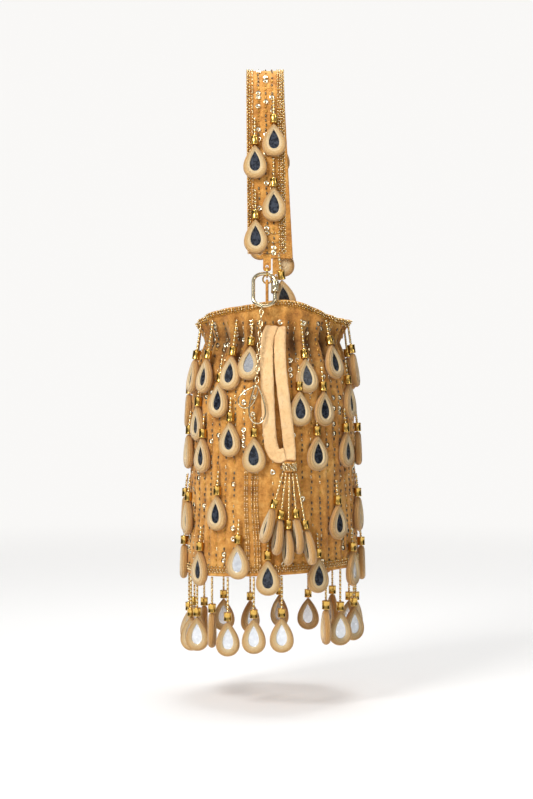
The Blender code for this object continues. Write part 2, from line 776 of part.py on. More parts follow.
def build_chain():
    start = chain_start()
    down = (chain_end() - start).normalized()
    ring_middle = start + down * (JUMP_RING - LINK_ROD - CHAIN_WIRE - GAP)
    sideways = Vector((1, 0, 0))
    depth = down.cross(sideways).normalized()
    sideways = depth.cross(down)
    chain = wire_ring("chain", ring_middle, JUMP_RING, CHAIN_WIRE, sideways, SILVER, 12, 5)
    begin = ring_middle + down * (JUMP_RING - CHAIN_WIRE)
    end = chain_end() - down * (END_RING - 1.1 * CHAIN_WIRE - GAP)
    pitch = (end - begin).length / CHAIN_LINKS
    half_length = pitch / 2 + CHAIN_WIRE * 0.9
    links = []
    for i in range(CHAIN_LINKS):
        middle = begin + down * pitch * (i + 0.5)
        across = depth if i % 2 else sideways
        points = chain_link_points(middle, down, across, half_length, CHAIN_WIDTH / 2)
        links.append(rod(f"chain_part_{i}", points, CHAIN_WIRE, SILVER, cyclic=True, resolution=0))
    return fuse(chain, links)


def teardrop(hook, seat, width, length, angle, segments=16):
    # a closed wire outline in the XZ plane, turned by angle, its tip the distance seat above its hook
    points = []
    turn = Matrix.Rotation(-angle, 3, "Y")
    for i in range(segments):
        a = math.tau * (i + 0.5) / segments
        wide = math.sin(a) * (0.35 + 0.65 * math.sin(a / 2) ** 2) / 0.86
        points.append(hook + turn @ Vector((wide * width / 2, 0, seat - (1 - math.cos(a)) / 2 * length)))
    return points


def build_pendants():
    wire_ring("chain_end_ring", chain_end(), END_RING, CHAIN_WIRE, (1, 0, 0), SILVER, 12, 5)
    foot = chain_end() - Vector((0, 0, math.sqrt(END_RING**2 - PENDANT_SPACING**2)))
    seat = CHAIN_WIRE + PENDANT_WIRE + 2 * GAP
    for name, size, angle, side in (
        ("pendant_small", SMALL_PENDANT, SMALL_PENDANT_TILT, 1),
        ("pendant_large", LARGE_PENDANT, LARGE_PENDANT_TILT, -1),
    ):
        hook = foot + Vector((0, side * PENDANT_SPACING, 0))
        outline = teardrop(hook, seat, *size, angle)
        rod(name, outline, PENDANT_WIRE, GOLD, cyclic=True, resolution=1)


def flat_tube(name, path, widths, thicknesses, finish, sides=8):
    # a tube of oval section along a path, its flat side carried along from facing up at the start
    rings = []
    face = Vector((0, 0, 1))
    for i, point in enumerate(path):
        ahead = path[min(i + 1, len(path) - 1)]
        behind = path[max(i - 1, 0)]
        tangent = (ahead - behind).normalized()
        face = (face - tangent * tangent.dot(face)).normalized()
        across = tangent.cross(face)
        ring = []
        for j in range(sides):
            a = math.tau * (j + 0.5) / sides
            ring.append(
                point + across * widths[i] / 2 * math.cos(a) + face * thicknesses[i] / 2 * math.sin(a)
            )
        rings.append(ring)
    return loft(name, rings, finish)


def front_depth(height, room):
    return -wall_radius(0, height) - room


def strand(name, route):
    # one hanging strand: it leaves the tunnel in the neck, comes through the slot and lies on the bag
    count = 16
    path = smooth_path(route, count)
    full = [min(0.72 + i * 0.14, 1) for i in range(count)]
    full[-1] = 0.8
    widths = [STRAND_WIDTH * f for f in full]
    thicknesses = [STRAND_THICKNESS] * count
    return flat_tube(name, path, widths, thicknesses, PEACH)


def build_drawstring():
    inset = WALL + PLEAT_DEPTH + CORD_RADIUS + 2 * GAP
    slot_z = -NECK_DROP + SLOT_ABOVE_NECK
    cord_z = -NECK_DROP + CASING_HEIGHT * 0.6
    ring = []
    for i in range(36):
        a = math.tau * i / 36
        radius = wall_radius(a, cord_z) - inset
        ring.append(Vector((BAG_X, 0, cord_z)) + outward(a) * radius)
    cord = rod("drawstring", ring, CORD_RADIUS, PEACH, cyclic=True, resolution=1)
    tunnel = wall_radius(0, cord_z) - inset

    room = STRAND_THICKNESS / 2 + 2 * GAP
    wrap_top = Vector((WRAP_X, front_depth(-WRAP_DROP, WRAP_RADIUS + GAP), -WRAP_DROP))

    def lie(x, height, extra=0.0):
        # a point of the strand where it lies on the wall, its height counted from the neck
        return (x * MM, front_depth(above_neck(height), room + extra * MM), above_neck(height))

    left = [
        (7.5 * MM, -tunnel, cord_z),
        (5.2 * MM, -tunnel - 6 * MM, slot_z),
        (4.2 * MM, front_depth(slot_z, 2.6 * MM), slot_z - 1 * MM),
        lie(1.6, 0, 2.4),
        lie(1.2, -17, 0.8),
        lie(1.8, -36),
        lie(2.4, -51),
        lie(3.2, -65),
        lie(5.0, -77),
        (9.0 * MM, front_depth(above_neck(-82), room + 1.2 * MM), above_neck(-82.5)),
        (WRAP_X - 3 * MM, wrap_top.y, -WRAP_DROP + 5 * MM),
    ]
    right = [
        (8.0 * MM, -tunnel, cord_z),
        (10.6 * MM, -tunnel - 6 * MM, slot_z - 0.6 * MM),
        (10.9 * MM, front_depth(slot_z, 2.4 * MM), slot_z - 2 * MM),
        lie(10.7, -5, 1.8),
        lie(11.0, -18, 0.6),
        lie(12.8, -36),
        lie(14.7, -51),
        lie(16.4, -66),
        lie(17.6, -79, 1.0),
        (WRAP_X, wrap_top.y, -WRAP_DROP + 2 * GAP),
    ]
    fuse(cord, [strand("left_strand", left), strand("right_strand", right)])

    middle = wrap_top - Vector((0, 0, WRAP_LENGTH / 2 + GAP))
    bpy.ops.mesh.primitive_cylinder_add(vertices=16, radius=WRAP_RADIUS, depth=WRAP_LENGTH, location=middle)
    wrap = bpy.context.object
    wrap.name = "drawstring_wrap"
    wrap.data.materials.append(get_material(GOLD))
    for collection in list(wrap.users_collection):
        collection.objects.unlink(wrap)
    bag.objects.link(wrap)
    return middle - Vector((0, 0, WRAP_LENGTH / 2 + GAP))


def build_tassel(foot):
    # the strings fan out from the wrap and lean forward until the drops, edge on, clear the wall
    for i, (drop_x, string) in enumerate(TASSEL):
        top = foot + Vector((TASSEL_TOP_SPACING * (i - (len(TASSEL) - 1) / 2), 0, -STRING_RADIUS / 2))
        yaw = math.radians(TASSEL_YAWS[i])
        reach = string * MM + CAP_HEIGHT + DROP_LENGTH * 0.55
        deep = math.hypot(DROP_WIDTH / 2 * math.sin(yaw), DROP_THICKNESS / 2 * math.cos(yaw))
        low_y = front_depth(top.z - reach, deep + 3 * GAP)
        low_x = drop_x * MM
        low_z = top.z - math.sqrt(reach**2 - (low_x - top.x) ** 2 - (low_y - top.y) ** 2)
        low = Vector((low_x, low_y, low_z))
        hang_charm(f"tassel_charm_{i + 1}", top, low - top, (0, -1, 0), string * MM, yaw)


def cut_slot(shell):
    bpy.ops.mesh.primitive_cube_add(size=1)
    cutter = bpy.context.object
    cutter.name = "drawstring_slot"
    cutter.scale = (SLOT_WIDTH, 16 * MM, SLOT_HEIGHT)
    cutter.location = (SLOT_X, -NECK_RADIUS, -NECK_DROP + SLOT_ABOVE_NECK)
    for collection in list(cutter.users_collection):
        collection.objects.unlink(cutter)
    cutters.objects.link(cutter)
    as_cutter(cutter)
    boolean(shell, "DIFFERENCE", cutter)


shell = build_shell()
build_sewn_charms()
boolean(shell, "UNION", sewn_charms)
cut_slot(shell)
build_lining()
build_base()
build_strap()
build_tab("tab_front", FRONT_RING_X, -1, FRONT_STRAP_DROP)
build_tab("tab_back", BACK_RING_X, 1, BACK_STRAP_DROP)
build_rings_and_loops("front", FRONT_RING_X, -1)
build_rings_and_loops("back", BACK_RING_X, 1)
build_link()
build_chain()
build_pendants()
build_tassel(build_drawstring())
build_strap_charms()
build_frill_charms()
build_hem_charms()
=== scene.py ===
# Looks for a beaded velvet potli bag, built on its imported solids. Metres, +Z up, the front looks along -Y.
import json
import math

import bmesh
import bpy
import numpy as np
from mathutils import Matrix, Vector


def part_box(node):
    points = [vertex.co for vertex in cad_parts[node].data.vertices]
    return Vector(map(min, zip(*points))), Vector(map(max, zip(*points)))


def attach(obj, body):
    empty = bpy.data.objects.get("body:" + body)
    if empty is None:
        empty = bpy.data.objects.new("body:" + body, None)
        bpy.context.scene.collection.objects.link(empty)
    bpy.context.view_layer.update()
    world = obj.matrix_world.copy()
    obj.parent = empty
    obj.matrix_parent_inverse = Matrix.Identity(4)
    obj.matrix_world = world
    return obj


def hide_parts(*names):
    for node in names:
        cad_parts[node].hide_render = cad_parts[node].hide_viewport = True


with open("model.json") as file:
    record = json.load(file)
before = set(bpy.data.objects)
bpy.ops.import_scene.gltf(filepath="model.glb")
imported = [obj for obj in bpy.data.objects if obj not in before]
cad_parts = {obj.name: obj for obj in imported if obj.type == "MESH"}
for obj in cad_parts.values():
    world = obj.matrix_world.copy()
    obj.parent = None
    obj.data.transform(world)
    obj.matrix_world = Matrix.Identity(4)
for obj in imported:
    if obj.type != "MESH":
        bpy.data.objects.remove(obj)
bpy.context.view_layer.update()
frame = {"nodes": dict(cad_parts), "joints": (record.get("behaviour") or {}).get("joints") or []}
mm = 0.001
tau = 2 * math.pi
joints = {j["child"]: j for j in frame["joints"]}
rng = np.random.default_rng(7)


class Shape:
    # gathers closed surfaces as whole arrays and makes one object of them
    def __init__(self):
        self.points, self.faces, self.count = [], [], 0

    def patch(self, grid, finish=0, closeRows=False, caps=False):
        # rows of points, each row a closed loop; quads join them, and caps close the first and last row
        grid = np.asarray(grid, float)
        rows, columns = grid.shape[:2]
        i, j = np.meshgrid(np.arange(rows if closeRows else rows - 1), np.arange(columns), indexing="ij")
        i, j = i.ravel(), j.ravel()
        nextRow, nextColumn = (i + 1) % rows, (j + 1) % columns
        round = ((i, j), (i, nextColumn), (nextRow, nextColumn), (nextRow, j))
        corners = np.stack([row * columns + column for row, column in round], 1)
        across, along = j / columns, i / rows
        steps = ((0, 0), (1, 0), (1, 1), (0, 1))
        uv = np.stack([np.stack([across + x / columns, along + y / rows], 1) for x, y in steps], 1)
        finishes = finish[i, j] if isinstance(finish, np.ndarray) else np.full(len(i), finish)
        self.faces.append((corners + self.count, finishes, uv, True))
        if caps:
            ring = np.arange(columns)
            first = finish[0, 0] if isinstance(finish, np.ndarray) else finish
            for row in (0, rows - 1):
                face = (ring + row * columns + self.count)[None, :]
                self.faces.append((face, np.array([first]), np.zeros((1, columns, 2)), False))
        self.points.append(grid.reshape(-1, 3))
        self.count += rows * columns
        return self

    def copies(self, template, turns, places, finish=0):
        # the template's points and quads, turned by each 3x3 matrix and moved to each place
        corners, quads = template
        placed = np.einsum("nij,kj->nki", turns, corners) + places[:, None, :]
        shift = (np.arange(len(places)) * len(corners) + self.count)[:, None, None]
        faces = (quads[None] + shift).reshape(-1, quads.shape[1])
        each = np.repeat(np.broadcast_to(finish, len(places)), len(quads))
        self.faces.append((faces, each, np.zeros((len(faces), quads.shape[1], 2)), True))
        self.points.append(placed.reshape(-1, 3))
        self.count += placed.shape[0] * placed.shape[1]
        return self

    def make(self, name, finishes, body, stands=(), slot=None):
        mesh = bpy.data.meshes.new(name)
        points = np.concatenate(self.points)
        corners, finish, uv, smooth = zip(*self.faces)
        sizes = np.concatenate([np.full(len(f), f.shape[1]) for f in corners])
        around = np.concatenate([u.reshape(-1, 2) for u in uv])
        mesh.vertices.add(len(points))
        mesh.vertices.foreach_set("co", points.astype(np.float32).ravel())
        mesh.loops.add(int(sizes.sum()))
        mesh.loops.foreach_set("vertex_index", np.concatenate([f.ravel() for f in corners]).astype(np.int32))
        mesh.polygons.add(len(sizes))
        mesh.polygons.foreach_set("loop_start", (np.cumsum(sizes) - sizes).astype(np.int32))
        mesh.polygons.foreach_set("loop_total", sizes.astype(np.int32))
        mesh.polygons.foreach_set("material_index", np.concatenate(finish).astype(np.int32))
        mesh.polygons.foreach_set("use_smooth", np.repeat(smooth, [len(f) for f in corners]))
        mesh.uv_layers.new(name="cloth").data.foreach_set("uv", around.astype(np.float32).ravel())
        mesh.update()
        form = bmesh.new()
        form.from_mesh(mesh)
        bmesh.ops.recalc_face_normals(form, faces=form.faces)
        form.to_mesh(mesh)
        form.free()
        for each in finishes:
            mesh.materials.append(each)
        piece = bpy.data.objects.new(name, mesh)
        bpy.context.scene.collection.objects.link(piece)
        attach(piece, body)
        if stands:
            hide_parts(*stands)
        return piece


def unit(v):
    return v / np.linalg.norm(v, axis=-1, keepdims=True)


def tubeGrid(path, wide, thick, side, sides=12, closed=False):
    # an oval carried along a path: point + side * wide * cos + normal * thick * sin, normal = tangent x side
    path = np.asarray(path, float)
    if closed:
        tangent = unit(np.roll(path, -1, 0) - np.roll(path, 1, 0))
    else:
        tangent = unit(np.gradient(path, axis=0))
    side = np.broadcast_to(np.asarray(side, float), path.shape)
    side = unit(side - tangent * (side * tangent).sum(1, keepdims=True))
    normal = np.cross(tangent, side)
    a = ((np.arange(sides) + 0.5) / sides * tau)[None, :, None]
    around = side[:, None] * wide * np.cos(a) + normal[:, None] * thick * np.sin(a)
    return path[:, None] + around


def ringGrid(centre, radius, wire, axis, segments=40, sides=10):
    # a round wire ring: centre + (radius + wire cos b) * direction + axis * wire sin b
    axis = unit(np.asarray(axis, float))
    first = unit(np.cross(axis, [0.3, 0.5, 0.81]))
    second = np.cross(axis, first)
    a = np.arange(segments) / segments * tau
    out = first * np.cos(a)[:, None] + second * np.sin(a)[:, None]
    b = np.arange(sides) / sides * tau
    reach = (radius + wire * np.cos(b))[None, :, None]
    return np.asarray(centre) + out[:, None] * reach + axis * (wire * np.sin(b))[None, :, None]


def smoothPath(points, count):
    # evenly spaced in the parameter on a Catmull-Rom curve through the points
    p = np.asarray(points, float)
    p = np.concatenate([[2 * p[0] - p[1]], p, [2 * p[-1] - p[-2]]])
    t = np.linspace(0, len(points) - 1, count)
    k = np.minimum(t.astype(int), len(points) - 2)
    t = (t - k)[:, None]
    a, b, c, d = p[k], p[k + 1], p[k + 2], p[k + 3]
    return 0.5 * (2 * b + (c - a) * t + (2 * a - 5 * b + 4 * c - d) * t**2 + (3 * b - a - 3 * c + d) * t**3)


def evenly(path, count=None, pitch=None, closed=False):
    # points at equal distances along a run of points
    path = np.asarray(path, float)
    if closed:
        path = np.concatenate([path, path[:1]])
    length = np.concatenate([[0], np.cumsum(np.linalg.norm(np.diff(path, axis=0), axis=1))])
    if count is None:
        count = max(int(round(length[-1] / pitch)), 2) + (0 if closed else 1)
    at = np.linspace(0, length[-1], count, endpoint=not closed)
    return np.stack([np.interp(at, length, path[:, k]) for k in range(3)], 1)


def turned(radii, heights, sides):
    # rings about Z, one for each radius and height: (r cos a, r sin a, z)
    a = np.arange(sides) / sides * tau
    radii, heights = radii[:, None], np.broadcast_to(heights[:, None], (len(radii), sides))
    return np.stack([radii * np.cos(a), radii * np.sin(a), heights], 2)


def revolved(radii, heights, sides):
    # a small turned form about Z, closed by its end faces, as a template of points and quads
    points = turned(radii, heights, sides)
    i, j = np.meshgrid(np.arange(len(radii) - 1), np.arange(sides), indexing="ij")
    i, j = i.ravel(), j.ravel()
    k = (j + 1) % sides
    quads = np.stack([i * sides + j, i * sides + k, (i + 1) * sides + k, (i + 1) * sides + j], 1)
    ends = []
    for base in (0, (len(radii) - 1) * sides):
        for n in range(sides // 2 - 1):
            ends.append([base + n, base + n + 1, base + sides - 2 - n, base + sides - 1 - n])
    return points.reshape(-1, 3), np.concatenate([quads, np.array(ends)])


def turnsTo(normal, along):
    # matrices whose third column is along and whose first is the surface's normal
    z = unit(np.broadcast_to(along, np.broadcast_shapes(np.shape(along), np.shape(normal))))
    x = unit(normal - z * (normal * z).sum(-1, keepdims=True))
    return np.stack([x, np.cross(z, x), z], 2)


class Flow:
    # one output socket; arithmetic on it adds Math nodes
    def __init__(self, nodes, socket):
        self.nodes, self.socket = nodes, socket

    def sums(self, operation, first, second):
        return self.nodes.node("ShaderNodeMath", {"operation": operation}, [first, second])[0]

    def __add__(self, other):
        return self.sums("ADD", self, other)

    def __sub__(self, other):
        return self.sums("SUBTRACT", self, other)

    def __rsub__(self, other):
        return self.sums("SUBTRACT", other, self)

    def __mul__(self, other):
        return self.sums("MULTIPLY", self, other)

    __radd__ = __add__
    __rmul__ = __mul__


class Nodes:
    # a tree of shader nodes; node() adds any node from its type, its settings and its sockets' values
    def __init__(self, tree):
        self.tree = tree

    def node(self, kind, settings=None, sockets=()):
        node = self.tree.nodes.new(kind)
        for key, value in (settings or {}).items():
            if key == "stops":
                ramp = node.color_ramp
                while len(ramp.elements) < len(value):
                    ramp.elements.new(0.5)
                for element, (place, colour) in zip(ramp.elements, value):
                    element.position = place
                    element.color = (*colour, 1)
            else:
                setattr(node, key, value)
        pairs = sockets.items() if isinstance(sockets, dict) else enumerate(sockets)
        for key, value in pairs:
            self.give(node.inputs[key], value)
        return [Flow(self, socket) for socket in node.outputs]

    def give(self, socket, value):
        if isinstance(value, Flow):
            self.tree.links.new(value.socket, socket)
        else:
            socket.default_value = value

    def show(self, output, shader):
        self.give(self.tree.nodes[output].inputs[0], shader)


class Finish(Nodes):
    # a Principled material
    def __init__(self, name, colour, roughness, metallic=0.0, **fixed):
        self.material = bpy.data.materials.new(name)
        self.material.use_nodes = True
        super().__init__(self.material.node_tree)
        self.shader = self.tree.nodes["Principled BSDF"]
        self.put("Base Color", (*colour, 1))
        self.put("Roughness", roughness)
        self.put("Metallic", metallic)
        for socket, value in fixed.items():
            self.put(socket.replace("_", " "), value)

    def put(self, socket, value):
        self.give(self.shader.inputs[socket], value)

    def place(self):
        return self.node("ShaderNodeTexCoord")[3]

    def onCloth(self):
        return self.node("ShaderNodeTexCoord")[2]

    def noise(self, where, scale, detail=2.0, rough=0.5):
        sockets = {"Vector": where, "Scale": scale, "Detail": detail, "Roughness": rough}
        return self.node("ShaderNodeTexNoise", None, sockets)[0]

    def ramp(self, value, stops):
        return self.node("ShaderNodeValToRGB", {"stops": stops}, [value])[0]

    def mixed(self, share, first, second):
        return self.node("ShaderNodeMix", {"data_type": "RGBA"}, {0: share, 6: first, 7: second})[2]

    def bump(self, height, strength, distance):
        sockets = {"Strength": strength, "Distance": distance, "Height": height}
        self.put("Normal", self.node("ShaderNodeBump", None, sockets)[0])


def velvet(name, deep, middle, pale, pile, soft=0.16):
    # short pile: colour drifts with the lie of the nap, fine noise breaks up the surface, and painted shade
    # darkens the folds
    tint = (1.0, 0.86, 0.62, 1)
    finish = Finish(name, middle, 0.9, Sheen_Weight=pile, Sheen_Roughness=0.4, Sheen_Tint=tint)
    where = finish.place()
    nap = finish.noise(where, 70, 3, 0.6)
    grain = finish.noise(where, 1500, 2, 0.6)
    toneDrift = finish.noise(where, 260, 3, 0.65)
    stops = [(0.5 - soft, deep), (0.5, middle), (0.5 + soft, pale)]
    colour = finish.ramp(nap * 0.5 + toneDrift * 0.3 + grain * 0.2, stops)
    # painted shade: the mesh's shade attribute mixes the colour towards a darkened deep tone in the folds,
    # tucks and under the frill
    fold = finish.node("ShaderNodeAttribute", {"attribute_name": "shade"})[2]
    finish.put("Base Color", finish.mixed(fold, colour, (*[c * 0.22 for c in deep], 1)))
    finish.put("Roughness", 0.8 + nap * 0.15)
    finish.bump(grain * 0.5 + toneDrift * 2.0 + nap * 0.6, 0.7, 0.0016)
    return finish.material


def polished(name, colour, dull, roughness):
    # plated metal with a faint cloud in its polish
    finish = Finish(name, colour, roughness, 1.0)
    cloud = finish.noise(finish.place(), 420, 2)
    finish.put("Roughness", cloud * 0.12 + (roughness - 0.05))
    finish.put("Base Color", finish.mixed(cloud, (*colour, 1), (*dull, 1)))
    return finish.material


def beads(name, colour, roughness, metallic):
    return Finish(name, colour, roughness, metallic, Coat_Weight=0.4, Coat_Roughness=0.1).material


def cordWound(name, edge, body, deep):
    # cord laid round and round: rings across the drop, paler next to the mirror and darker towards its outer
    # edge, with painted shade in the grooves between the cords
    finish = Finish(name, body, 0.85, Sheen_Weight=0.3, Sheen_Roughness=0.4)
    uv = finish.node("ShaderNodeSeparateXYZ", None, [finish.onCloth()])
    grain = finish.noise(finish.place(), 1100, 3, 0.7)
    cords = finish.node("ShaderNodeMath", {"operation": "SINE"}, [uv[1] * (tau * 20)])[0]
    out = finish.node("ShaderNodeMath", {"operation": "PINGPONG"}, [uv[1], 0.5])[0]
    # the tone runs from pale next to the mirror to deep at the drop's outer edge, broken by grain
    toneDrift = finish.ramp(out + (grain - 0.5) * 0.32, [(0.18, edge), (0.30, body), (0.46, deep)])
    # painted shade: the grooves between the cords are mixed towards the deep tone
    finish.put("Base Color", finish.mixed(cords * 0.25 + 0.2, toneDrift, (*deep, 1)))
    finish.put("Roughness", grain * 0.15 + 0.75)
    finish.bump(cords * 0.4 + grain * 2.0, 0.7, 0.0006)
    return finish.material


goldenVelvet = velvet("golden_velvet", (0.34, 0.122, 0.018), (0.66, 0.292, 0.054), (0.88, 0.50, 0.14), 0.25)
peachVelvet = velvet("peach_velvet", (0.66, 0.35, 0.13), (0.86, 0.55, 0.26), (0.93, 0.70, 0.42), 0.3, 0.3)
satin = velvet("peach_satin", (0.66, 0.42, 0.22), (0.82, 0.58, 0.34), (0.9, 0.7, 0.46), 0.1, 0.3)
gold = polished("gold_metal", (0.78, 0.50, 0.13), (0.56, 0.33, 0.07), 0.2)
paleGold = polished("pale_gold_metal", (0.84, 0.72, 0.48), (0.62, 0.50, 0.30), 0.14)
goldBead = beads("gold_bead", (0.58, 0.32, 0.06), 0.28, 1.0)
silverBead = beads("silver_bead", (0.80, 0.68, 0.42), 0.25, 1.0)
darkBead = beads("gunmetal_bead", (0.17, 0.145, 0.10), 0.25, 0.9)
sequinGold = beads("sequin_pale_gold", (0.92, 0.82, 0.58), 0.2, 1.0)
cordTan = cordWound("cord_wound_velvet", (0.92, 0.72, 0.42), (0.84, 0.55, 0.24), (0.52, 0.27, 0.08))


def cloudyMirror(name, dark, light, metallic, roughness):
    # hand-cut mirror with a cloudy, faintly scratched back; its dark or pale colour is painted reflection,
    # standing in for what the glass mirrors
    finish = Finish(name, dark, roughness, metallic, Specular_IOR_Level=0.4)
    cloud = finish.noise(finish.place(), 380, 4, 0.7)
    finish.put("Base Color", finish.ramp(cloud, [(0.42, dark), (0.62, light)]))
    finish.put("Roughness", cloud * 0.25 + (roughness - 0.1))
    finish.bump(cloud, 0.25, 0.0004)
    return finish.material


# painted reflection: a near-black glass for the mirrors that look dark and a pale half-metal for those that
# look pale
darkReflectionMirror = cloudyMirror("mirror_painted_dark_reflection", (0.008, 0.010, 0.015), (0.045, 0.055, 0.075), 0.0, 0.25)
paleReflectionMirror = cloudyMirror("mirror_painted_pale_reflection", (0.66, 0.69, 0.74), (0.84, 0.87, 0.91), 0.6, 0.2)
print("finishes ready")

bagForm = dict(
    x=5.6 * mm, rimDrop=179.5 * mm, rimLift=6.5 * mm, rimRadius=53.7 * mm, rimOval=4.7 * mm,
    rimWaves=5, rimWave=1.1 * mm, neckDrop=201 * mm, neckRadius=49.2 * mm, neckOval=1.7 * mm,
    shoulderDrop=245 * mm, shoulderRadius=61 * mm, hemDrop=368.5 * mm, hemRadius=65 * mm, hemTilt=0.05,
    pleatDepth=2.4 * mm, wall=2 * mm, gap=0.3 * mm,
)


def rimHeight(a):
    f = bagForm
    return -f["rimDrop"] + f["rimLift"] * np.cos(2 * a) + f["rimWave"] * np.sin(f["rimWaves"] * a)


def wallRadius(a, h):
    # flared frill above the neck, a rounded shoulder below it, then nearly straight down to the hem
    f = bagForm
    rim = f["rimRadius"] - f["rimOval"] * np.cos(2 * a) + f["rimWave"] * np.sin(f["rimWaves"] * a)
    neck = f["neckRadius"] - f["neckOval"] * np.cos(2 * a)
    up = np.clip((h + f["neckDrop"]) / (rimHeight(a) + f["neckDrop"]), 0, 1) ** 1.3
    down = np.clip((-f["neckDrop"] - h) / (f["shoulderDrop"] - f["neckDrop"]), 0, 1)
    low = np.clip((-f["shoulderDrop"] - h) / (f["hemDrop"] - f["shoulderDrop"]), 0, 1)
    shoulder = neck + (f["shoulderRadius"] - neck) * np.sin(down * math.pi / 2) ** 0.9
    body = f["shoulderRadius"] + (f["hemRadius"] - f["shoulderRadius"]) * low
    return np.where(h >= -f["neckDrop"], neck + (rim - neck) * up, np.where(low > 0, body, shoulder))


def gathered(h):
    # how far the wall is drawn in between the crests of its pleats
    f = bagForm
    up = np.clip((h + f["neckDrop"]) / (f["rimLift"] + f["neckDrop"] - f["rimDrop"]), 0, 1)
    down = np.clip(1 - (-f["neckDrop"] - h) / (f["shoulderDrop"] - f["neckDrop"]), 0, 1) ** 1.5
    return f["pleatDepth"] * np.where(h >= -f["neckDrop"], 1 - 0.7 * up, down)


def wallPoint(a, h, off=0.0):
    f = bagForm
    a, h = np.broadcast_arrays(np.asarray(a, float), np.asarray(h, float))
    low = np.clip((-f["shoulderDrop"] - h) / (f["hemDrop"] - f["shoulderDrop"]), 0, None)
    radius = wallRadius(a, h)
    lift = f["hemTilt"] * low * radius * np.sin(a)
    radius = radius + off
    return np.stack([f["x"] + radius * np.sin(a), -radius * np.cos(a), h + lift], -1)


def outward(a):
    a = np.asarray(a, float)
    return np.stack([np.sin(a), -np.cos(a), np.zeros_like(a)], -1)


wallCloth = dict(
    rows=54, columns=378, puff=1.0 * mm, fold=1.1 * mm, crease=0.5 * mm, neckFold=3.0 * mm, deepest=4.1 * mm
)


def neckTuck(a):
    return 0.5 - 0.5 * np.cos(26 * a + 1.1 * np.sin(3 * a) + 0.8 * np.sin(5 * a + 1))


def neckShare(h):
    # one at the drawn neck, fading a little quicker below it than up into the frill
    away = h + bagForm["neckDrop"]
    return np.exp(-((away / np.where(away > 0, 15 * mm, 19 * mm)) ** 2))


def clothDip(a, h):
    # the velvet puffs between the bead rows, folds softly and is gathered at the neck, never proud
    f, c = bagForm, wallCloth
    puff = c["puff"] * (1 - np.abs(np.sin(c["rows"] / 2 * a)) ** 0.7)
    fold = c["fold"] * (0.5 + 0.5 * np.sin(3 * a + 40 * h + 1.3) * np.sin(7 * a - 95 * h))
    drift = 2.1 * np.sin(9 * a) + 1.7 * np.sin(4 * a + 30 * h)
    crease = c["crease"] * (0.5 + 0.5 * np.sin(h / mm * 0.62 + drift))
    body = np.clip((-f["neckDrop"] - h) / (20 * mm), 0, 1) * np.clip((h + f["hemDrop"]) / (9 * mm), 0, 1)
    frill = np.clip((h + f["neckDrop"]) / (8 * mm), 0, 1)
    deep = gathered(h) + c["neckFold"] * neckShare(h)
    soft = (puff + fold + crease) * (0.15 + 0.85 * body) * (1 - 0.5 * frill)
    return np.minimum(deep * neckTuck(a) + soft, c["deepest"])


def innerDip(a, h):
    # the inside keeps clear of the cord in its casing, where the tucks are deepest
    dip = clothDip(a, h)
    return np.maximum(dip + 0.5 * mm, np.minimum(dip + bagForm["wall"], 4.8 * mm))


def buildWall():
    f, c = bagForm, wallCloth
    a = np.arange(c["columns"]) / c["columns"] * tau
    rim = rimHeight(a)
    rows = []
    # over the rounded rim, down the outside, under the hem and up the inside
    for share in np.linspace(1, 0, 24, endpoint=False):
        h = -f["neckDrop"] + (rim + f["neckDrop"]) * share
        rows.append(wallPoint(a, h, -clothDip(a, h)))
    for h in np.linspace(-f["neckDrop"], -f["hemDrop"], 150):
        h = np.full_like(a, h)
        rows.append(wallPoint(a, h, -clothDip(a, h)))
    for h in np.linspace(-f["hemDrop"], -f["neckDrop"], 20):
        h = np.full_like(a, h)
        rows.append(wallPoint(a, h, -innerDip(a, h)))
    for share in np.linspace(0.15, 1, 6):
        h = -f["neckDrop"] + (rim + f["neckDrop"]) * share
        rows.append(wallPoint(a, h, -innerDip(a, h)))
    for turn in (0.75, 0.5, 0.25):
        lift = f["wall"] / 2 * math.sin(turn * math.pi)
        across = (1 - math.cos(turn * math.pi)) / 2
        dip = clothDip(a, rim) * (1 - across) + innerDip(a, rim) * across
        rows.append(wallPoint(a, rim, -dip) + [0, 0, lift])
    return Shape().patch(np.array(rows), closeRows=True)


def shadeFolds(piece):
    # each point's share of shade: full in the tucks at the neck, some between the puffs and under the frill
    co = np.empty(len(piece.data.vertices) * 3, np.float32)
    piece.data.vertices.foreach_get("co", co)
    co = co.reshape(-1, 3)
    a = np.arctan2(co[:, 0] - bagForm["x"], -co[:, 1])
    seam = np.abs(np.sin(wallCloth["rows"] / 2 * a)) ** 6
    shade = np.clip(neckShare(co[:, 2]) ** 1.6 * (0.3 + 0.6 * neckTuck(a) ** 1.5) + 0.1 * (1 - seam), 0, 0.88)
    piece.data.attributes.new("shade", "FLOAT", "POINT").data.foreach_set("value", shade.astype(np.float32))


wall = buildWall().make("velvet_wall", [goldenVelvet], "bag", ["bag_shell"], "golden_velvet")
shadeFolds(wall)
print("wall ready")

# beads on the wall, each sat on the cloth
beadForms = dict(seed=0.68 * mm, bugleLong=2.0 * mm, bugle=0.55 * mm, sequin=1.85 * mm)
seedRadii = np.array([0.35, 0.9, 1.0, 0.9, 0.35]) * beadForms["seed"]
seedBead = revolved(seedRadii, np.array([-0.62, -0.4, 0, 0.4, 0.62]) * beadForms["seed"], 6)
bugleRadii = np.array([0.8, 1, 1, 0.8]) * beadForms["bugle"]
bugleBead = revolved(bugleRadii, np.array([-0.5, -0.44, 0.44, 0.5]) * beadForms["bugleLong"], 6)


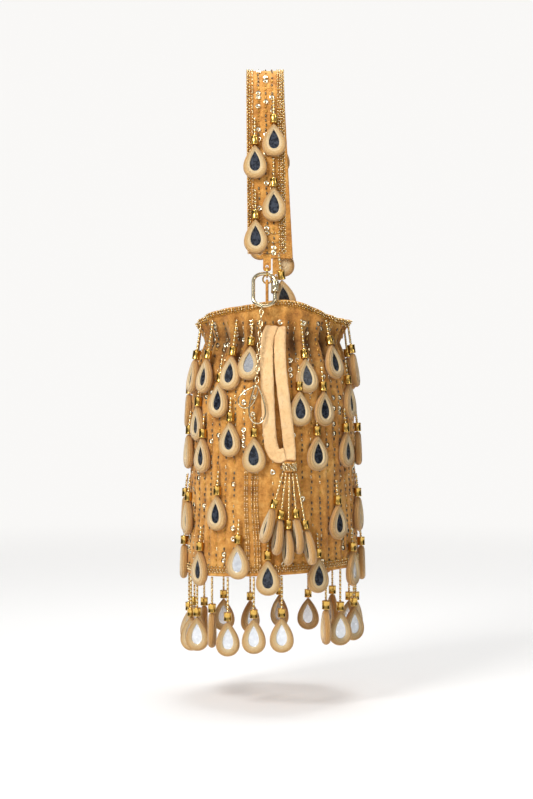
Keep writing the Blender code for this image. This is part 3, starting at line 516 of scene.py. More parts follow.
def cupSequin():
    # a dished ring with a hole: radius runs out, over the edge and back underneath
    r = np.array([0.3, 0.62, 1.0, 1.0, 0.6, 0.3]) * beadForms["sequin"]
    z = np.array([0.0, 0.05, 0.4, 0.28, -0.08, -0.14]) * beadForms["sequin"]
    points = turned(r, z, 12)
    i, j = np.meshgrid(np.arange(6), np.arange(12), indexing="ij")
    i, j = i.ravel(), j.ravel()
    k, n = (j + 1) % 12, (i + 1) % 6
    return points.reshape(-1, 3), np.stack([i * 12 + j, i * 12 + k, n * 12 + k, n * 12 + j], 1)


sequin = cupSequin()


def strung(shape, path, normal, pitch, finishes, template=seedBead, closed=False):
    # beads threaded along a path, their finish taken in turn
    places = evenly(path, pitch=pitch, closed=closed)
    along = np.roll(places, -1, 0) - np.roll(places, 1, 0) if closed else np.gradient(places, axis=0)
    lean = np.broadcast_to(np.asarray(normal, float), places.shape) + 1e-4
    pick = np.array([finishes[i % len(finishes)] for i in range(len(places))])
    shape.copies(template, turnsTo(lean, along), places, pick)


rowForm = dict(pitch=3.7 * mm, sequinShare=0.16, bareShare=0.10, top=-188 * mm, bottom=-361 * mm)


def beadRows():
    w = rowForm
    shape = Shape()
    count = wallCloth["rows"]
    a0 = np.arange(count) / count * tau
    steps = int((w["top"] - w["bottom"]) / w["pitch"])
    h, a = np.meshgrid(np.linspace(w["top"], w["bottom"], steps), a0, indexing="ij")
    h = h + rng.uniform(-0.5, 0.5, h.shape) * mm
    a = a + rng.uniform(-0.006, 0.006, a.shape)
    kind = rng.random(a.shape)
    inLines = (a % tau > math.radians(360 - 21)) & (h < -288 * mm)
    a, h, kind = a[~inLines], h[~inLines], kind[~inLines]
    dip = clothDip(a, h)
    n = outward(a)
    flat = kind < w["sequinShare"]
    rod = kind > w["sequinShare"] + w["bareShare"]
    places = wallPoint(a, h, -dip + 0.35 * mm)
    down = unit(wallPoint(a, h - 1 * mm) - wallPoint(a, h))
    tone = rng.random(rod.sum())
    finish = np.where(tone < 0.62, 0, np.where(tone < 0.85, 1, 2))
    shape.copies(bugleBead, turnsTo(n[rod], down[rod]), places[rod], finish)
    tip = n[flat] + rng.uniform(-0.25, 0.25, (flat.sum(), 3))
    turns = turnsTo(down[flat], unit(tip))
    shape.copies(sequin, turns, places[flat] + n[flat] * 0.2 * mm, 3)
    return shape.make("wall_beads", [darkBead, goldBead, silverBead, sequinGold], "bag", slot="gold")


wallBeads = beadRows()


def edgeBeads():
    # the rim's double edging, the hem's two rows and the run of lines left of the middle
    shape = Shape()
    a = np.linspace(0, tau, 720, endpoint=False)
    n = outward(a)
    rim = rimHeight(a)
    for drop, out, tones in ((0.2, 0.35, (1, 0)), (1.7, 0.55, (0, 1)), (3.1, 0.5, (0,))):
        h = rim - drop * mm
        path = wallPoint(a, h, out * mm - clothDip(a, h))
        strung(shape, path, (0, 0, 1), 1.32 * mm, tones, closed=True)
    hem = -bagForm["hemDrop"]
    for lift, tones in ((3.0, (0, 1)), (4.6, (1, 0)), (6.6, (0, 0, 1))):
        h = np.full_like(a, hem + lift * mm)
        path = wallPoint(a, h, 0.6 * mm - clothDip(a, h) * 0.6)
        strung(shape, path, (0, 0, 1), 1.32 * mm, tones, closed=True)
    for degrees, bend in ((-18.6, 0.6), (-17.0, 0.5), (-13.6, 0.9), (-11.6, 0.8), (-9.9, 0.7)):
        h = np.linspace(-289, -364, 60) * mm
        drift = bend * np.sin((h / mm + 290) / 14) + (h / mm + 289) * -0.018
        around = math.radians(degrees) + np.radians(drift)
        path = wallPoint(around, h, 0.55 * mm - clothDip(around, h))
        strung(shape, path, outward(around).mean(0), 1.3 * mm, (0, 1, 1))
    return shape.make("edge_beads", [goldBead, silverBead], "bag", slot="gold")


edgeTrim = edgeBeads()
print("beads on the wall ready")

liningForm = dict(
    gap=0.8 * mm, thick=1.2 * mm, casing=9 * mm, cord=2 * mm, floor=-bagForm["hemDrop"] + 4.6 * mm
)


def liningRadius(a, h):
    f, l = bagForm, liningForm
    room = f["wall"] + l["gap"] + gathered(h)
    tunnel = f["wall"] + f["pleatDepth"] + 2 * l["cord"] + 4 * f["gap"]
    above = (h + f["neckDrop"] - l["casing"]) / (l["casing"] * 0.5)
    below = (-f["neckDrop"] + l["casing"] * 0.2 - h) / (l["casing"] * 1.2)
    away = 1 - np.clip(np.maximum(above, below), 0, 1)
    return wallRadius(a, h) - (room + (np.maximum(room, tunnel) - room) * away)


def buildLining():
    f, l = bagForm, liningForm
    a = np.arange(192) / 192 * tau
    rim = rimHeight(a) - f["gap"]
    rows = []

    def row(h, off, shrink=1.0):
        h = np.broadcast_to(h, a.shape)
        soft = 0.25 * mm * np.sin(17 * a + 60 * h) * (1 - off / l["thick"])
        radius = (liningRadius(a, h) - off + soft * 0.4) * shrink
        low = np.clip((-f["shoulderDrop"] - h) / (f["hemDrop"] - f["shoulderDrop"]), 0, None)
        lift = f["hemTilt"] * low * radius * np.sin(a)
        rows.append(np.stack([f["x"] + radius * np.sin(a), -radius * np.cos(a), h + lift], -1))

    top = -f["neckDrop"] + l["casing"] * 1.5
    for shrink in (0.02, 0.5, 0.9):
        row(l["floor"] - l["thick"] + 0.1 * mm, 0, shrink)
    for h in np.linspace(l["floor"] - l["thick"], top, 46):
        row(h, 0.0)
    for share in (0.33, 0.66, 1.0):
        row(top + (rim - top) * share, 0.0)
    row(rim + 0.3 * mm, l["thick"] * 0.5)
    for share in (1.0, 0.66, 0.33):
        row(top + (rim - top) * share, l["thick"])
    for h in np.linspace(top, l["floor"], 46):
        row(h, l["thick"])
    for shrink in (0.9, 0.5, 0.02):
        row(l["floor"], l["thick"], shrink)
    return Shape().patch(np.array(rows), caps=True)


lining = buildLining().make("satin_lining", [satin], "bag", ["lining"], "peach_lining")


def dress(names, material):
    for name in names:
        mesh = frame["nodes"][name].data
        mesh.materials.clear()
        mesh.materials.append(material)


dress(["base_panel", "tab_front", "tab_back", "bag_loop_front", "bag_loop_back"], goldenVelvet)
print("lining ready")

charmForm = dict(
    cap=3.15 * mm, capHeight=6.4 * mm, dropWide=17 * mm, dropLong=25.5 * mm, dropThick=5.4 * mm,
    string=0.9 * mm, bead=1.5 * mm, mirrorWide=7.6 * mm, mirrorLong=15 * mm, mirrorTop=5.2 * mm,
    lastRing=0.938,
)


def teardrop(u, wide, long, sharp=1.0):
    # half-width sin(t) sin(t/2) and depth (1 - cos t) / 2 over t from 0 at the tip round to the tip again
    half = np.sin(u) * np.abs(np.sin(u / 2)) ** sharp / 0.7698 * wide / 2
    return half, -(1 - np.cos(u)) / 2 * long


def dropGrid(backMirror):
    # rings from the mirror's middle over the wound cord to the edge, then a padded back or a second mirror
    c = charmForm
    u = (np.arange(40) + 0.5) / 40 * tau
    inX, inZ = teardrop(u, c["mirrorWide"], c["mirrorLong"])
    inZ = inZ - c["mirrorTop"]
    outX, outZ = teardrop(u, c["dropWide"], c["dropLong"], 0.9)
    middle = -c["mirrorTop"] - c["mirrorLong"] * 0.58
    half = c["dropThick"] / 2
    # share from the mirror's outline to the drop's, depth in half thicknesses; below 0 is inside the mirror
    steps = [
        (-0.94, -0.42), (-0.04, -0.42), (0.0, -0.42), (0.03, -0.80), (0.12, -0.97), (0.24, -0.74),
        (0.34, -1.0), (0.46, -0.78), (0.56, -0.98), (0.68, -0.66), (0.78, -0.82), (0.9, -0.52),
        (0.985, -0.16),
    ]
    if backMirror:
        steps += [(share, -depth) for share, depth in reversed(steps)]
    else:
        steps += [
            (0.985, 0.16), (0.9, 0.52), (0.78, 0.82), (0.68, 0.66), (0.56, 0.98), (0.46, 0.78), (0.34, 1.0),
            (0.24, 0.8), (0.12, 0.97), (0.03, 0.9), (-0.2, 0.94), (-0.5, 0.97), (-0.94, 1.0),
        ]
    rows = []
    for share, depth in steps:
        if share <= 0:
            x, z = inX * (1 + share), middle + (inZ - middle) * (1 + share)
        else:
            x, z = inX + (outX - inX) * share, inZ + (outZ - inZ) * share
        rows.append(np.stack([x, np.full_like(x, depth * half), z], 1))
    finish = np.ones((len(rows), 40), int) * 2
    finish[:2] = 3
    if backMirror:
        finish[-3:] = 3
    return np.array(rows), finish


plainDrop, doubleDrop = dropGrid(False), dropGrid(True)


def capGrid():
    # a turned tube with a soft lip at each end
    c = charmForm
    r = np.array([0.3, 0.78, 0.92, 0.94, 0.9, 0.9, 0.94, 0.92, 0.78, 0.3]) * c["cap"]
    z = -np.array([0.02, 0.0, 0.03, 0.10, 0.14, 0.86, 0.90, 0.97, 1.0, 0.98]) * c["capHeight"]
    return turned(r, z, 16)


capRows = capGrid()


def stringGrid(length, tuck=0.0):
    # beads on a thread: the radius swells once for every bead, gold and silver in turn on each side
    c = charmForm
    beadsOn = max(int(round(length / c["bead"])), 1)
    rows = beadsOn * 5 + 1
    s = np.linspace(0, 1, rows)
    radius = c["string"] * (0.66 + 0.34 * np.abs(np.sin(s * beadsOn * math.pi)) ** 0.7)
    grid = turned(radius, -s * length, 8)
    grid[:, :, 1] += tuck * (1 - s)[:, None]
    bead = np.minimum((s * beadsOn).astype(int), beadsOn - 1)
    finish = (bead[:, None] + (np.arange(8) > 3)[None, :]) % 2
    return grid, np.where(finish == 0, 0, 1)


def addCharm(shape, origin, x, y, down, string, tuck=0.0, drop=plainDrop):
    # local X is the drop's width, local -Y its face, local -Z the way it hangs
    turn = np.stack([x, y, -down], 1)

    def put(grid, lower):
        return (grid + [0, 0, -lower]) @ turn.T + origin

    if string > 0:
        grid, finish = stringGrid(string, tuck)
        shape.patch(put(grid, 0), finish, caps=True)
    shape.patch(put(capRows, string), 4, caps=True)
    shape.patch(put(drop[0], string + charmForm["capHeight"]), drop[1], caps=True)
    # the last two caps are the mirror's middle and the back's middle
    for place, finish in ((-2, 3), (-1, 3 if drop is doubleDrop else 2)):
        corners, _, uv, smooth = shape.faces[place]
        shape.faces[place] = (corners, np.array([finish]), uv, smooth)


def charmFrame(name):
    # where a hanging charm's solid lies: from its joint, its lowest ring of corners and their longest spread
    joint = joints[name]
    origin = np.array(joint["pos_m"])
    mesh = frame["nodes"][name].data
    points = np.zeros(len(mesh.vertices) * 3)
    mesh.vertices.foreach_get("co", points)
    points = np.unique(np.round(points.reshape(-1, 3), 5), axis=0) - origin
    guess = unit(points[np.argmax(np.linalg.norm(points, axis=1))])
    along = points @ guess
    ring = points[along > along.max() - 2.6 * mm]
    centre = (ring.max(0) + ring.min(0)) / 2
    down = unit(centre)
    spread = ring - centre
    x = spread[np.argmax(np.linalg.norm(spread, axis=1))]
    x = unit(x - down * (x @ down))
    face = np.cross(x, down)
    out = np.cross(joint["axis"], [0, 0, -1.0])
    if face @ out < 0:
        x, face = -x, -face
    length = np.linalg.norm(centre) - charmForm["capHeight"] - charmForm["lastRing"] * charmForm["dropLong"]
    return origin, x, -face, down, length


# the strings on the strap start nearer to it than the cap's middle, by the cap's reach less the gap
strapTuck = (charmForm["cap"] - charmForm["string"]) * math.cos(math.pi / 6) - bagForm["gap"]
for name in sorted(joints):
    if "charm" not in name:
        continue
    origin, x, y, down, length = charmFrame(name)
    tucked = strapTuck if name.startswith("strap_charm") and name != "strap_charm_front_5" else 0.0
    shape = Shape()
    hem = name.startswith("hem_charm")
    addCharm(shape, origin, x, y, down, length, tucked, doubleDrop if hem else plainDrop)
    # the hem charms get the pale painted reflection, the others the dark one
    mirror = paleReflectionMirror if hem else darkReflectionMirror
    finishes = [goldBead, silverBead, cordTan, mirror, gold]
    charm = shape.make("dressed_" + name, finishes, name, [name], "padded_drop")
print("hanging charms ready")

# charms sewn flat on the wall: degrees round from the front and height of the cap's middle in mm, seven of
# them on strings from the frill; at the back each row has a height and a count, spread over an arc
sewn = dict(
    sink=1.1 * mm, string=11 * mm, tuck=0.9 * mm, frillString=185.5 * mm, rimClear=3 * mm,
    frill=[(-31, -209), (-17, -202), (24, -211), (106, -208), (153, -204), (207, -203), (254, -209)],
    rows=[
        [(-90, -236), (-60, -245), (-39, -228), (18, -234), (36, -234), (65, -229)],
        [(-53, -268), (-76, -266), (-29, -256), (-12, -267), (30, -266), (57, -264), (90, -264)],
        [(-90, -313), (-73, -315), (-38, -309), (46, -316), (75, -312)],
        [(-83, -348), (-53, -350), (-22, -343), (-3, -354), (29, -353), (61.5, -351), (85, -349)],
    ],
    back=[(-243, 6), (-275, 6), (-312, 5), (-348, 6)], arc=128.0, stagger=3.0,
    # these three sewn charms get the pale mirror, a painted reflection
    pale=[(-22, -343), (61.5, -351), (85, -349)],
)


def sewnPlaces():
    places = [(azimuth, cap, True) for azimuth, cap in sewn["frill"]]
    places += [(azimuth, cap, False) for row in sewn["rows"] for azimuth, cap in row]
    for row, (cap, count) in enumerate(sewn["back"]):
        shift = sewn["arc"] / count / 4 * (-1) ** row
        for i in range(count):
            azimuth = 180 - sewn["arc"] / 2 + (i + 0.5) * sewn["arc"] / count + shift
            places.append((azimuth, cap + sewn["stagger"] * (-1) ** i, False))
    return places


def sewnCharms():
    c = charmForm
    dark, pale = Shape(), Shape()
    for azimuth, cap, steep in sewnPlaces():
        a = math.radians(azimuth)
        top = cap * mm + c["capHeight"] / 2
        bottom = top - c["capHeight"] - c["dropLong"]
        off = c["dropThick"] / 2 - sewn["sink"] + bagForm["gap"]
        low = wallPoint(a, bottom, off)
        high = wallPoint(a, top, off)
        string = sewn["string"]
        if steep:
            start = min(-sewn["frillString"], float(rimHeight(a)) - sewn["rimClear"])
            high = wallPoint(a, start, bagForm["gap"] + c["string"] - 0.9 * float(gathered(start)) * 0.5)
            share = (top - low[2]) / (high[2] - low[2])
            string = float(np.linalg.norm(high - low)) * (1 - share)
        down = unit(low - high)
        origin = low + (high - low) * (top - low[2]) / (high[2] - low[2]) - down * string
        face = outward(a)
        face = unit(face - down * (face @ down))
        x = np.cross(down, face)
        # the listed charms go with the pale painted reflection, the rest with the dark one
        target = pale if (azimuth, cap) in sewn["pale"] else dark
        addCharm(target, origin, x, -face, down, string, 0.0 if steep else sewn["tuck"])
    return [
        shape.make(name, [goldBead, silverBead, cordTan, mirror, gold], "bag", slot="padded_drop")
        for shape, name, mirror in ((dark, "sewn_charms", darkReflectionMirror), (pale, "sewn_charms_pale_reflection", paleReflectionMirror))
    ]


sewnPieces = sewnCharms()
print("sewn charms ready")

strapForm = dict(
    width=28 * mm, thick=3 * mm, spread=42 * mm, frontDrop=137.7 * mm, backDrop=134 * mm,
    frontX=1.4 * mm, backX=7.6 * mm,
)


def strapLine(side, count):
    # a Bezier curve from the top of the loop to one end
    s = strapForm
    drop, endX = (s["frontDrop"], s["frontX"]) if side < 0 else (s["backDrop"], s["backX"])
    top = s["thick"] / 2
    t = np.linspace(0, 1, count)
    w = [(1 - t) ** 3, 3 * t * (1 - t) ** 2, 3 * t**2 * (1 - t), t**3]
    py = [0, 0.71 * s["spread"], 0.81 * s["spread"], s["spread"]]
    pz = [top, top, -0.64 * drop, -drop]
    y = sum(a * b for a, b in zip(w, py))
    z = sum(a * b for a, b in zip(w, pz))
    return np.stack([endX * (top - z) / (top + drop), side * y, z], 1)


def strapPath(count=150):
    line = np.concatenate([strapLine(-1, count)[::-1], strapLine(1, count)[1:]])
    tangent = unit(np.gradient(line, axis=0))
    normal = unit(np.cross([1.0, 0, 0], tangent))
    return line, tangent, normal * np.sign(normal[:, 2].mean() or 1)


def buildStrap():
    # a flat padded band: its section is a squared-off oval, a little puffed between the bead lines
    s = strapForm
    line, _, normal = strapPath()
    b = (np.arange(48) + 0.5) / 48 * tau
    across = np.sign(np.cos(b)) * np.abs(np.cos(b)) ** 0.22 * s["width"] / 2
    thick = np.sign(np.sin(b)) * np.abs(np.sin(b)) ** 0.35 * s["thick"] / 2
    along = np.arange(len(line))[:, None]
    puff = 0.12 * mm * np.sin(across[None] / mm * 0.9 + 0.8 * np.sin(along * 0.21))
    reach = thick[None] * 0.98 - np.sign(thick)[None] * np.abs(puff + 0.1 * mm * np.sin(along * 0.47))
    grid = line[:, None] + np.array([1.0, 0, 0]) * across[None, :, None] + normal[:, None] * reach[:, :, None]
    band = Shape().patch(grid, caps=True)
    band.make("velvet_strap", [goldenVelvet], "handle", ["handle_strap"], "golden_velvet")


buildStrap()


def strapBeads():
    shape = Shape()
    line, tangent, normal = strapPath(120)
    top = strapForm["thick"] / 2 + 0.45 * mm
    side = np.array([1.0, 0, 0])

    def lineAt(x, wave):
        i = np.arange(len(line))[:, None]
        return line + side * (x * mm + wave * mm * np.sin(i * 0.9)) + normal * top

    left = [(-13.2, (1, 0)), (-11.7, (0, 1)), (-9.6, (0, 1, 1))]
    right = [(9.2, (1, 0)), (10.9, (0, 1, 1)), (12.2, (1, 0)), (13.4, (0, 1))]
    for x, tones in left + right:
        strung(shape, lineAt(x, 0.12), side, 1.34 * mm, tones)
    for x in (-5.2, 0.2, 5.0):
        places = evenly(lineAt(x, 0.3), pitch=3.7 * mm)
        along = unit(np.gradient(places, axis=0))
        out = unit(np.cross(side, along))
        out = out * np.sign((out * (places - [0, 0, -0.09])).sum(1, keepdims=True))
        kind = rng.random(len(places))
        rod, flat = kind > 0.28, kind < 0.2
        tone = np.where(rng.random(rod.sum()) < 0.5, 2, 0)
        shape.copies(bugleBead, turnsTo(out[rod], along[rod]), places[rod], tone)
        tip = unit(out[flat] + rng.uniform(-0.2, 0.2, (flat.sum(), 3)))
        shape.copies(sequin, turnsTo(along[flat], tip), places[flat], 3)
    for end in (6, len(line) - 7):
        for step in (0, 5):
            at = line[end] + (line[end - step] - line[end] if end > 100 else line[end + step] - line[end])
            x = np.linspace(-13, 13, 40)
            wave = 0.5 * mm * np.sin(x * 0.9)
            above = normal[end] * (top + 0.1 * mm)
            path = at + side * (x * mm)[:, None] + above + tangent[end] * wave[:, None]
            strung(shape, path, normal[end], 1.34 * mm, (0, 1))
    shape.make("strap_beads", [goldBead, silverBead, darkBead, sequinGold], "handle", slot="gold")


strapBeads()
print("handle ready")

metalForm = dict(
    frontX=1.5 * mm, backX=8.7 * mm, ringDrop=151.2 * mm, upper=3.8 * mm, lower=3.0 * mm, wire=0.6 * mm,
    shift=1.4 * mm, y=42 * mm, halfWidth=7.8 * mm, leg=14 * mm, bow=6.2 * mm, rod=1.35 * mm,
    lean=math.radians(24), sleeveLong=9 * mm, bore=1.65 * mm, sleeveTop=0.3 * mm, opening=3 * mm,
)


def wireLoop(grid, name, material, body, node, look):
    Shape().patch(grid, closeRows=True).make(name, [material], body, [node], look)


def ringPieces():
    m = metalForm
    for label, x, side in (("front", m["frontX"], -1), ("back", m["backX"], 1)):
        upper = ringGrid([x, side * m["y"], -m["ringDrop"]], m["upper"], m["wire"], [1, 0, 0])
        wireLoop(upper, f"upper_ring_{label}", gold, "handle", f"ring_upper_{label}", "gold")
        seat = -m["ringDrop"] - math.sqrt(m["upper"] ** 2 - m["shift"] ** 2)
        middle = seat + 2 * m["wire"] + bagForm["gap"] - m["lower"]
        lower = ringGrid([x, side * (m["y"] - m["shift"]), middle], m["lower"], m["wire"], [0, 1, 0])
        wireLoop(lower, f"lower_ring_{label}", gold, "bag", f"ring_lower_{label}", "gold")


ringPieces()
linkOrigin = np.array(joints["link"]["pos_m"])
lean = metalForm["lean"]
linkTurn = np.array([[1, 0, 0], [0, math.cos(lean), math.sin(lean)], [0, -math.sin(lean), math.cos(lean)]])


def linkPlace(points):
    return np.asarray(points) @ linkTurn.T + linkOrigin


def linkPieces():
    m = metalForm
    top, foot = -m["bow"], -m["bow"] - m["leg"]
    opening = top - m["sleeveTop"] - 0.5 * mm
    a = np.linspace(0, math.pi, 30)
    w, b = m["halfWidth"], m["bow"]
    path = [[(w, opening - m["opening"])], np.stack([w * np.cos(a), foot - b * np.sin(a)], 1)]
    path += [np.stack([-w * np.cos(a), top + b * np.sin(a)], 1), [(w, opening)]]
    path = evenly(np.insert(np.concatenate(path), 1, 0.0, axis=1), 150)
    grid = tubeGrid(linkPlace(path), m["rod"] * 0.99, m["rod"] * 0.99, linkTurn @ [0, 1, 0], 14)
    Shape().patch(grid, caps=True).make("oval_link", [paleGold], "link", ["quick_link"], "pale_gold")
    high = top - m["sleeveTop"]
    r = np.array([1.0, 1.0, 1.62, 1.76, 1.76, 1.68, 1.68, 1.76, 1.76, 1.62]) * m["bore"]
    z = np.array([0.97, 0.0, 0.0, 0.03, 0.16, 0.18, 0.80, 0.82, 0.97, 1.0])
    grid = turned(np.append(r, m["bore"]), np.append(z, 1.0) * -m["sleeveLong"] + high, 36) + [w, 0, 0]
    wireLoop(linkPlace(grid), "screw_sleeve", paleGold, "sleeve", "link_sleeve", "pale_gold")


linkPieces()
chainForm = dict(
    end=np.array([-6.0, -66.5, -233.0]) * mm, links=13, wire=0.36 * mm, wide=2.3 * mm, jump=2.4 * mm,
    ring=2.2 * mm,
)


def chainPieces():
    c, gap = chainForm, bagForm["gap"]
    start = np.array(joints["chain"]["pos_m"])
    down = unit(c["end"] - start)
    middle = start + down * (c["jump"] - metalForm["rod"] - c["wire"] - gap)
    side = np.array([1.0, 0, 0])
    depth = unit(np.cross(down, side))
    side = np.cross(depth, down)
    shape = Shape().patch(ringGrid(middle, c["jump"], c["wire"], side, 28, 8), closeRows=True)
    begin = middle + down * (c["jump"] - c["wire"])
    stop = c["end"] - down * (c["ring"] - 1.1 * c["wire"] - gap)
    pitch = np.linalg.norm(stop - begin) / c["links"]
    halfLong, halfWide = pitch / 2 + c["wire"] * 0.9, c["wide"] / 2
    a = np.arange(24) / 24 * tau
    straight = np.where(np.abs(np.sin(a)) > 0.05, np.sign(np.sin(a)) * (halfLong - halfWide), 0)
    for i in range(c["links"]):
        across, flat = (depth, side) if i % 2 else (side, depth)
        centre = begin + down * pitch * (i + 0.5)
        path = centre + down * (straight + halfWide * np.sin(a))[:, None]
        path = path + across * (halfWide * np.cos(a))[:, None]
        shape.patch(tubeGrid(path, c["wire"], c["wire"], flat, 7, closed=True), closeRows=True)
    shape.make("short_chain", [paleGold], "chain", ["chain"], "pale_gold")
    endRing = ringGrid(c["end"], c["ring"], c["wire"], [1, 0, 0], 28, 8)
    wireLoop(endRing, "chain_ring", paleGold, "chain", "chain_end_ring", "pale_gold")


chainPieces()
pendantForm = dict(wire=0.6 * mm, small=(12 * mm, 19 * mm, -40), large=(13.5 * mm, 27 * mm, 2))


def pendantPieces():
    # a closed wire teardrop, its tip a little above the ring it hangs on
    p = pendantForm
    seat = chainForm["wire"] + p["wire"] + 2 * bagForm["gap"]
    for name, (wide, long, degrees) in (("pendant_small", p["small"]), ("pendant_large", p["large"])):
        hook = np.array(joints[name]["pos_m"])
        a = (np.arange(64) + 0.5) / 64 * tau
        half = np.sin(a) * (0.35 + 0.65 * np.sin(a / 2) ** 2) / 0.86 * wide / 2
        z = seat - (1 - np.cos(a)) / 2 * long
        t = math.radians(-degrees)
        x, z = half * math.cos(t) + z * math.sin(t), -half * math.sin(t) + z * math.cos(t)
        path = hook + np.stack([x, np.zeros(64), z], 1)
        grid = tubeGrid(path, p["wire"] * 0.97, p["wire"] * 0.97, [0, 1, 0], 10, closed=True)
        wireLoop(grid, "wire_" + name, paleGold, name, name, "gold")


pendantPieces()
print("metal ready")

cordForm = dict(
    cord=2 * mm, wide=10 * mm, thick=4.4 * mm, slotAbove=9 * mm, wrapRadius=5.2 * mm, wrapLong=7 * mm,
    wrapX=17.4 * mm, wrapDrop=287.2 * mm, rings=110, corners=28, rightNarrower=0.88, wrapTurns=5.4,
)


def frontDepth(h, room):
    return -float(wallRadius(0.0, h)) - room


def cordPlaces():
    # how far the cord in its casing lies inside the wall, its height, and its distance at the front
    f, c = bagForm, cordForm
    inset = f["wall"] + f["pleatDepth"] + c["cord"] + 2 * f["gap"]
    cordZ = -f["neckDrop"] + liningForm["casing"] * 0.6
    return inset, cordZ, float(wallRadius(0.0, cordZ)) - inset


def neckCord():
    f, c = bagForm, cordForm
    inset, cordZ, _ = cordPlaces()
    a = np.arange(120) / 120 * tau
    radius = wallRadius(a, cordZ) - inset
    ring = np.stack([f["x"] + radius * np.sin(a), -radius * np.cos(a), np.full_like(a, cordZ)], 1)
    grid = tubeGrid(ring, c["cord"], c["cord"], [0, 0, 1], 10, closed=True)
    wireLoop(grid, "cord_round_neck", peachVelvet, "bag", "drawstring", "peach_velvet")


def strandRoutes():
    # in millimetres, from the casing through the slot, down along the wall and into the wrap
    f, c = bagForm, cordForm
    _, cordZ, tunnel = cordPlaces()
    slotZ = -f["neckDrop"] + c["slotAbove"]
    room = c["thick"] / 2 + 2 * f["gap"]
    wrapX, wrapY = c["wrapX"] / mm, frontDepth(-c["wrapDrop"], c["wrapRadius"] + f["gap"]) / mm

    def lie(x, drop, extra=0.0):
        return (x, frontDepth(-drop * mm, room + extra * mm) / mm, -drop)

    def at(x, y, z):
        return (x, y / mm, z / mm)

    left = [
        at(7.5, -tunnel, cordZ), at(5.2, -tunnel - 6 * mm, slotZ),
        at(4.2, frontDepth(slotZ, 2.6 * mm), slotZ - 1 * mm), lie(1.6, 201, 2.4), lie(1.2, 218, 0.8),
        lie(1.8, 237), lie(2.4, 252), lie(3.2, 266), lie(5.0, 278),
        (9.0, frontDepth(-283 * mm, room + 1.2 * mm) / mm, -283.5), (wrapX - 3, wrapY, -282.2),
    ]
    right = [
        at(8.0, -tunnel, cordZ), at(10.6, -tunnel - 6 * mm, slotZ - 0.6 * mm),
        at(10.9, frontDepth(slotZ, 2.4 * mm), slotZ - 2 * mm), lie(10.7, 206, 1.8), lie(11.0, 219, 0.6),
        lie(12.8, 237), lie(14.7, 252), lie(16.4, 267), lie(17.6, 280, 1.0),
        (wrapX, wrapY, -c["wrapDrop"] / mm + 0.6),
    ]
    return left, right


def strandGrid(path, seed, narrow):
    # a squared-off oval along the path: narrower at the slot, waved, creased across and pinched near the wrap
    c = cordForm
    s = np.linspace(0, 1, c["rings"])
    tangent = unit(np.gradient(path, axis=0))
    face = np.empty_like(path)
    carried = np.array([0.0, 0.0, 1.0])
    for i in range(c["rings"]):  # the flat side is carried along, so that the band never flips over
        carried = unit(carried - tangent[i] * (tangent[i] @ carried))
        face[i] = carried
    across = np.cross(tangent, face)
    b = (np.arange(c["corners"]) + 0.5) / c["corners"] * tau
    full = np.clip(0.72 + s * 2.1, 0, 1) * narrow
    wide = c["wide"] / 2 * full * (1 - 0.04 * np.abs(np.sin(s * 40 + seed)))
    wave = 1 + 0.10 * np.sin(s * 61 + seed) * np.sin(s * 17 + 1)
    pinch = 1 - 0.28 * np.exp(-((s[:, None] - 0.86) ** 2) / 0.004) * (0.5 + 0.5 * np.cos(3 * b + 1))[None]
    crease = 1 - 0.3 * np.clip(np.sin(s[:, None] * 34 + 2.2 * np.cos(b)[None] + seed), 0, 1) ** 2
    flatness = np.sign(np.cos(b)) * np.abs(np.cos(b)) ** 0.72
    hollow = 1 - 0.22 * np.exp(-((np.cos(b) / 0.3) ** 2))
    thickness = np.sign(np.sin(b)) * np.abs(np.sin(b)) ** 0.85 * hollow
    deep = c["thick"] / 2 * (wave[:, None] * 0.9) * thickness[None] * crease * pinch
    sideways = across[:, None] * (wide[:, None] * flatness[None])[:, :, None]
    return path[:, None] + sideways + face[:, None] * deep[:, :, None]


def drawstring():
    c = cordForm
    neckCord()
    left, right = strandRoutes()
    made = []
    for name, route, seed, narrow in (("left", left, 0.0, 1.0), ("right", right, 2.0, c["rightNarrower"])):
        path = smoothPath(np.array(route) * mm, c["rings"])
        band = Shape().patch(strandGrid(path, seed, narrow), caps=True)
        strand = band.make(f"{name}_strand", [peachVelvet], "bag", ["drawstring"], "peach_velvet")
        length = float(np.linalg.norm(np.diff(path, axis=0), axis=1).sum())
        made.append((strand, path, length, c["wide"] * narrow))
        print(name, "strand", round(length / mm, 1), "mm")
    return made


strands = drawstring()


def beadWrap():
    # rows of seed beads wound round the strands' ends, over a velvet core
    c = cordForm
    low, high = (np.array(v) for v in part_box("drawstring_wrap"))
    centre = (low + high) / 2
    shape = Shape()
    t = np.linspace(0, 1, 260)
    radius = c["wrapRadius"] - beadForms["seed"] * 0.9
    a = t * c["wrapTurns"] * tau
    z = high[2] - 0.7 * mm - t * (c["wrapLong"] - 1.4 * mm)
    path = np.stack([centre[0] + radius * np.cos(a), centre[1] + radius * np.sin(a), z], 1)
    strung(shape, path, (0, 0, 1), 1.25 * mm, (0, 1, 1))
    r = np.array([0.2, 0.86, 0.9, 0.9, 0.86, 0.2]) * (c["wrapRadius"] - 0.9 * mm)
    h = np.array([0, 0, 0.06, 0.94, 1, 1]) * c["wrapLong"] + low[2]
    shape.patch(turned(r, h, 32) + [centre[0], centre[1], 0], 2, caps=True)
    return shape.make("bead_wrap", [goldBead, silverBead, goldenVelvet], "bag", ["drawstring_wrap"], "gold")


wrapPiece = beadWrap()
print("drawstring ready")

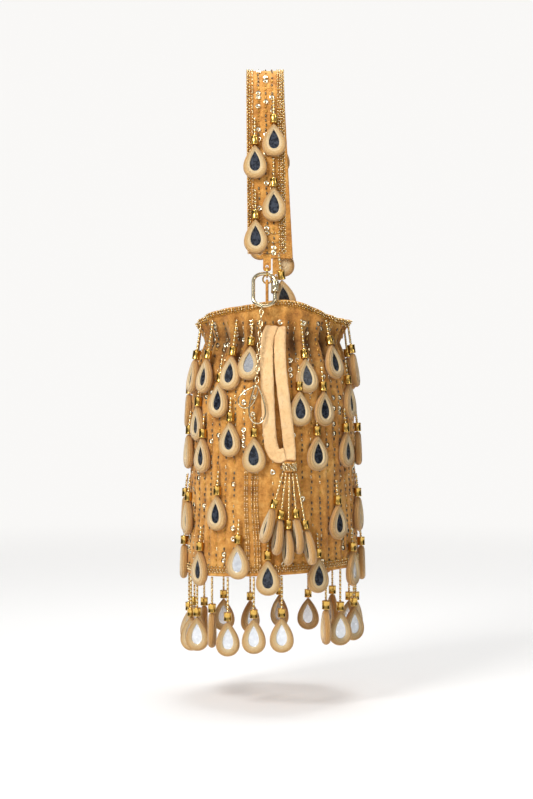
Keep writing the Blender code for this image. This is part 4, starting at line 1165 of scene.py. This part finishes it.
studio = dict(
    floorZ=-0.466, lens=72.7, camera=(0.0011, -1.211, -0.2434), aim=(0, 0, -0.25), paper=(0.945, 0.935, 0.92),
    glow=1.02, sky=(0.95, 0.97, 1.0), skyPower=0.42, cardX=0.62,
    lights=[  # name, place, size, power
        ("key", (-0.75, -0.95, 0.6), 0.5, 17.5),
        ("fill", (1.0, -0.7, 0.15), 0.5, 5.0),
        ("top", (0.1, 0.15, 0.95), 0.6, 10.5),
    ],
)


def added(name, data):
    thing = bpy.data.objects.new(name, data)
    bpy.context.scene.collection.objects.link(thing)
    return thing


def paperFinish():
    # pale paper that still takes a soft shadow: mostly its own colour to the camera, and lit for the rest
    finish = Finish("paper", studio["paper"], 1.0, Specular_IOR_Level=0.0)
    seen = finish.node("ShaderNodeLightPath")[0]
    glow = finish.node("ShaderNodeEmission", None, [(*studio["paper"], 1), studio["glow"]])[0]
    # the paper glows less where the shadow falls than far away, on the floor and on the wall behind
    away = finish.node("ShaderNodeVectorMath", {"operation": "LENGTH"}, [finish.place()])[1]
    share = finish.node("ShaderNodeMapRange", None, [away, 0.55, 1.7, 0.34, 0.96])[0]
    lit = Flow(finish, finish.shader.outputs[0])
    finish.show("Material Output", finish.node("ShaderNodeMixShader", None, [seen * share, lit, glow])[0])
    return finish.material


def buildFloor():
    # flat as far as t = 0.5, then a quarter bend up into the wall behind
    t = np.linspace(0, 1, 40)
    bend = np.clip((t - 0.5) / 0.2, 0, 1) * math.pi / 2
    y = np.where(t < 0.5, -3 + 9 * t, 1.5 + 0.8 * np.sin(bend))
    z = studio["floorZ"] + np.where(t < 0.5, 0, 0.8 * (1 - np.cos(bend))) + np.clip(t - 0.7, 0, 1) * 8
    mesh = bpy.data.meshes.new("floor")
    points = [(x, *yz) for yz in zip(y, z) for x in (-4.0, 4.0)]
    mesh.from_pydata(points, [], [(2 * i, 2 * i + 1, 2 * i + 3, 2 * i + 2) for i in range(39)])
    mesh.materials.append(paperFinish())
    mesh.polygons.foreach_set("use_smooth", [True] * 39)
    added("floor", mesh)


def buildCards():
    # dark cards on both sides, out of the view, give the metal its dark edges
    for x in (-studio["cardX"], studio["cardX"]):
        card = bpy.data.meshes.new("card")
        corners = [(x, -0.6, -0.45), (x, 0.25, -0.45), (x, 0.25, 0.1), (x, -0.6, 0.1)]
        card.from_pydata(corners, [], [(0, 1, 2, 3)])
        card.materials.append(Finish("card", (0.01, 0.01, 0.01), 1.0).material)
        panel = added("card", card)
        panel.visible_camera = False


def buildLights():
    for name, place, size, power in studio["lights"]:
        light = bpy.data.lights.new(name, "AREA")
        light.size = size
        light.energy = power
        lamp = added(name, light)
        lamp.location = place
        lamp.rotation_mode = "QUATERNION"
        lamp.rotation_quaternion = (Vector(studio["aim"]) - Vector(place)).to_track_quat("-Z", "Y")


def buildWorld():
    # the camera sees the paper's colour, and everything else the soft sky
    world = bpy.data.worlds.new("studio")
    world.use_nodes = True
    sky = Nodes(world.node_tree)
    seen = sky.node("ShaderNodeLightPath")[0]
    soft = sky.node("ShaderNodeBackground", None, [(*studio["sky"], 1), studio["skyPower"]])[0]
    paper = sky.node("ShaderNodeBackground", None, [(*studio["paper"], 1)])[0]
    sky.show("World Output", sky.node("ShaderNodeMixShader", None, [seen, soft, paper])[0])
    bpy.context.scene.world = world


def buildCamera():
    camera = bpy.data.cameras.new("camera")
    camera.lens = studio["lens"]
    camera.sensor_width = 36
    eye = added("camera", camera)
    eye.location = studio["camera"]
    eye.rotation_euler = (math.pi / 2, 0, 0)
    bpy.context.scene.camera = eye


buildFloor()
buildCards()
buildLights()
buildWorld()
buildCamera()
bpy.context.scene.view_settings.view_transform = "Standard"
print("studio ready")
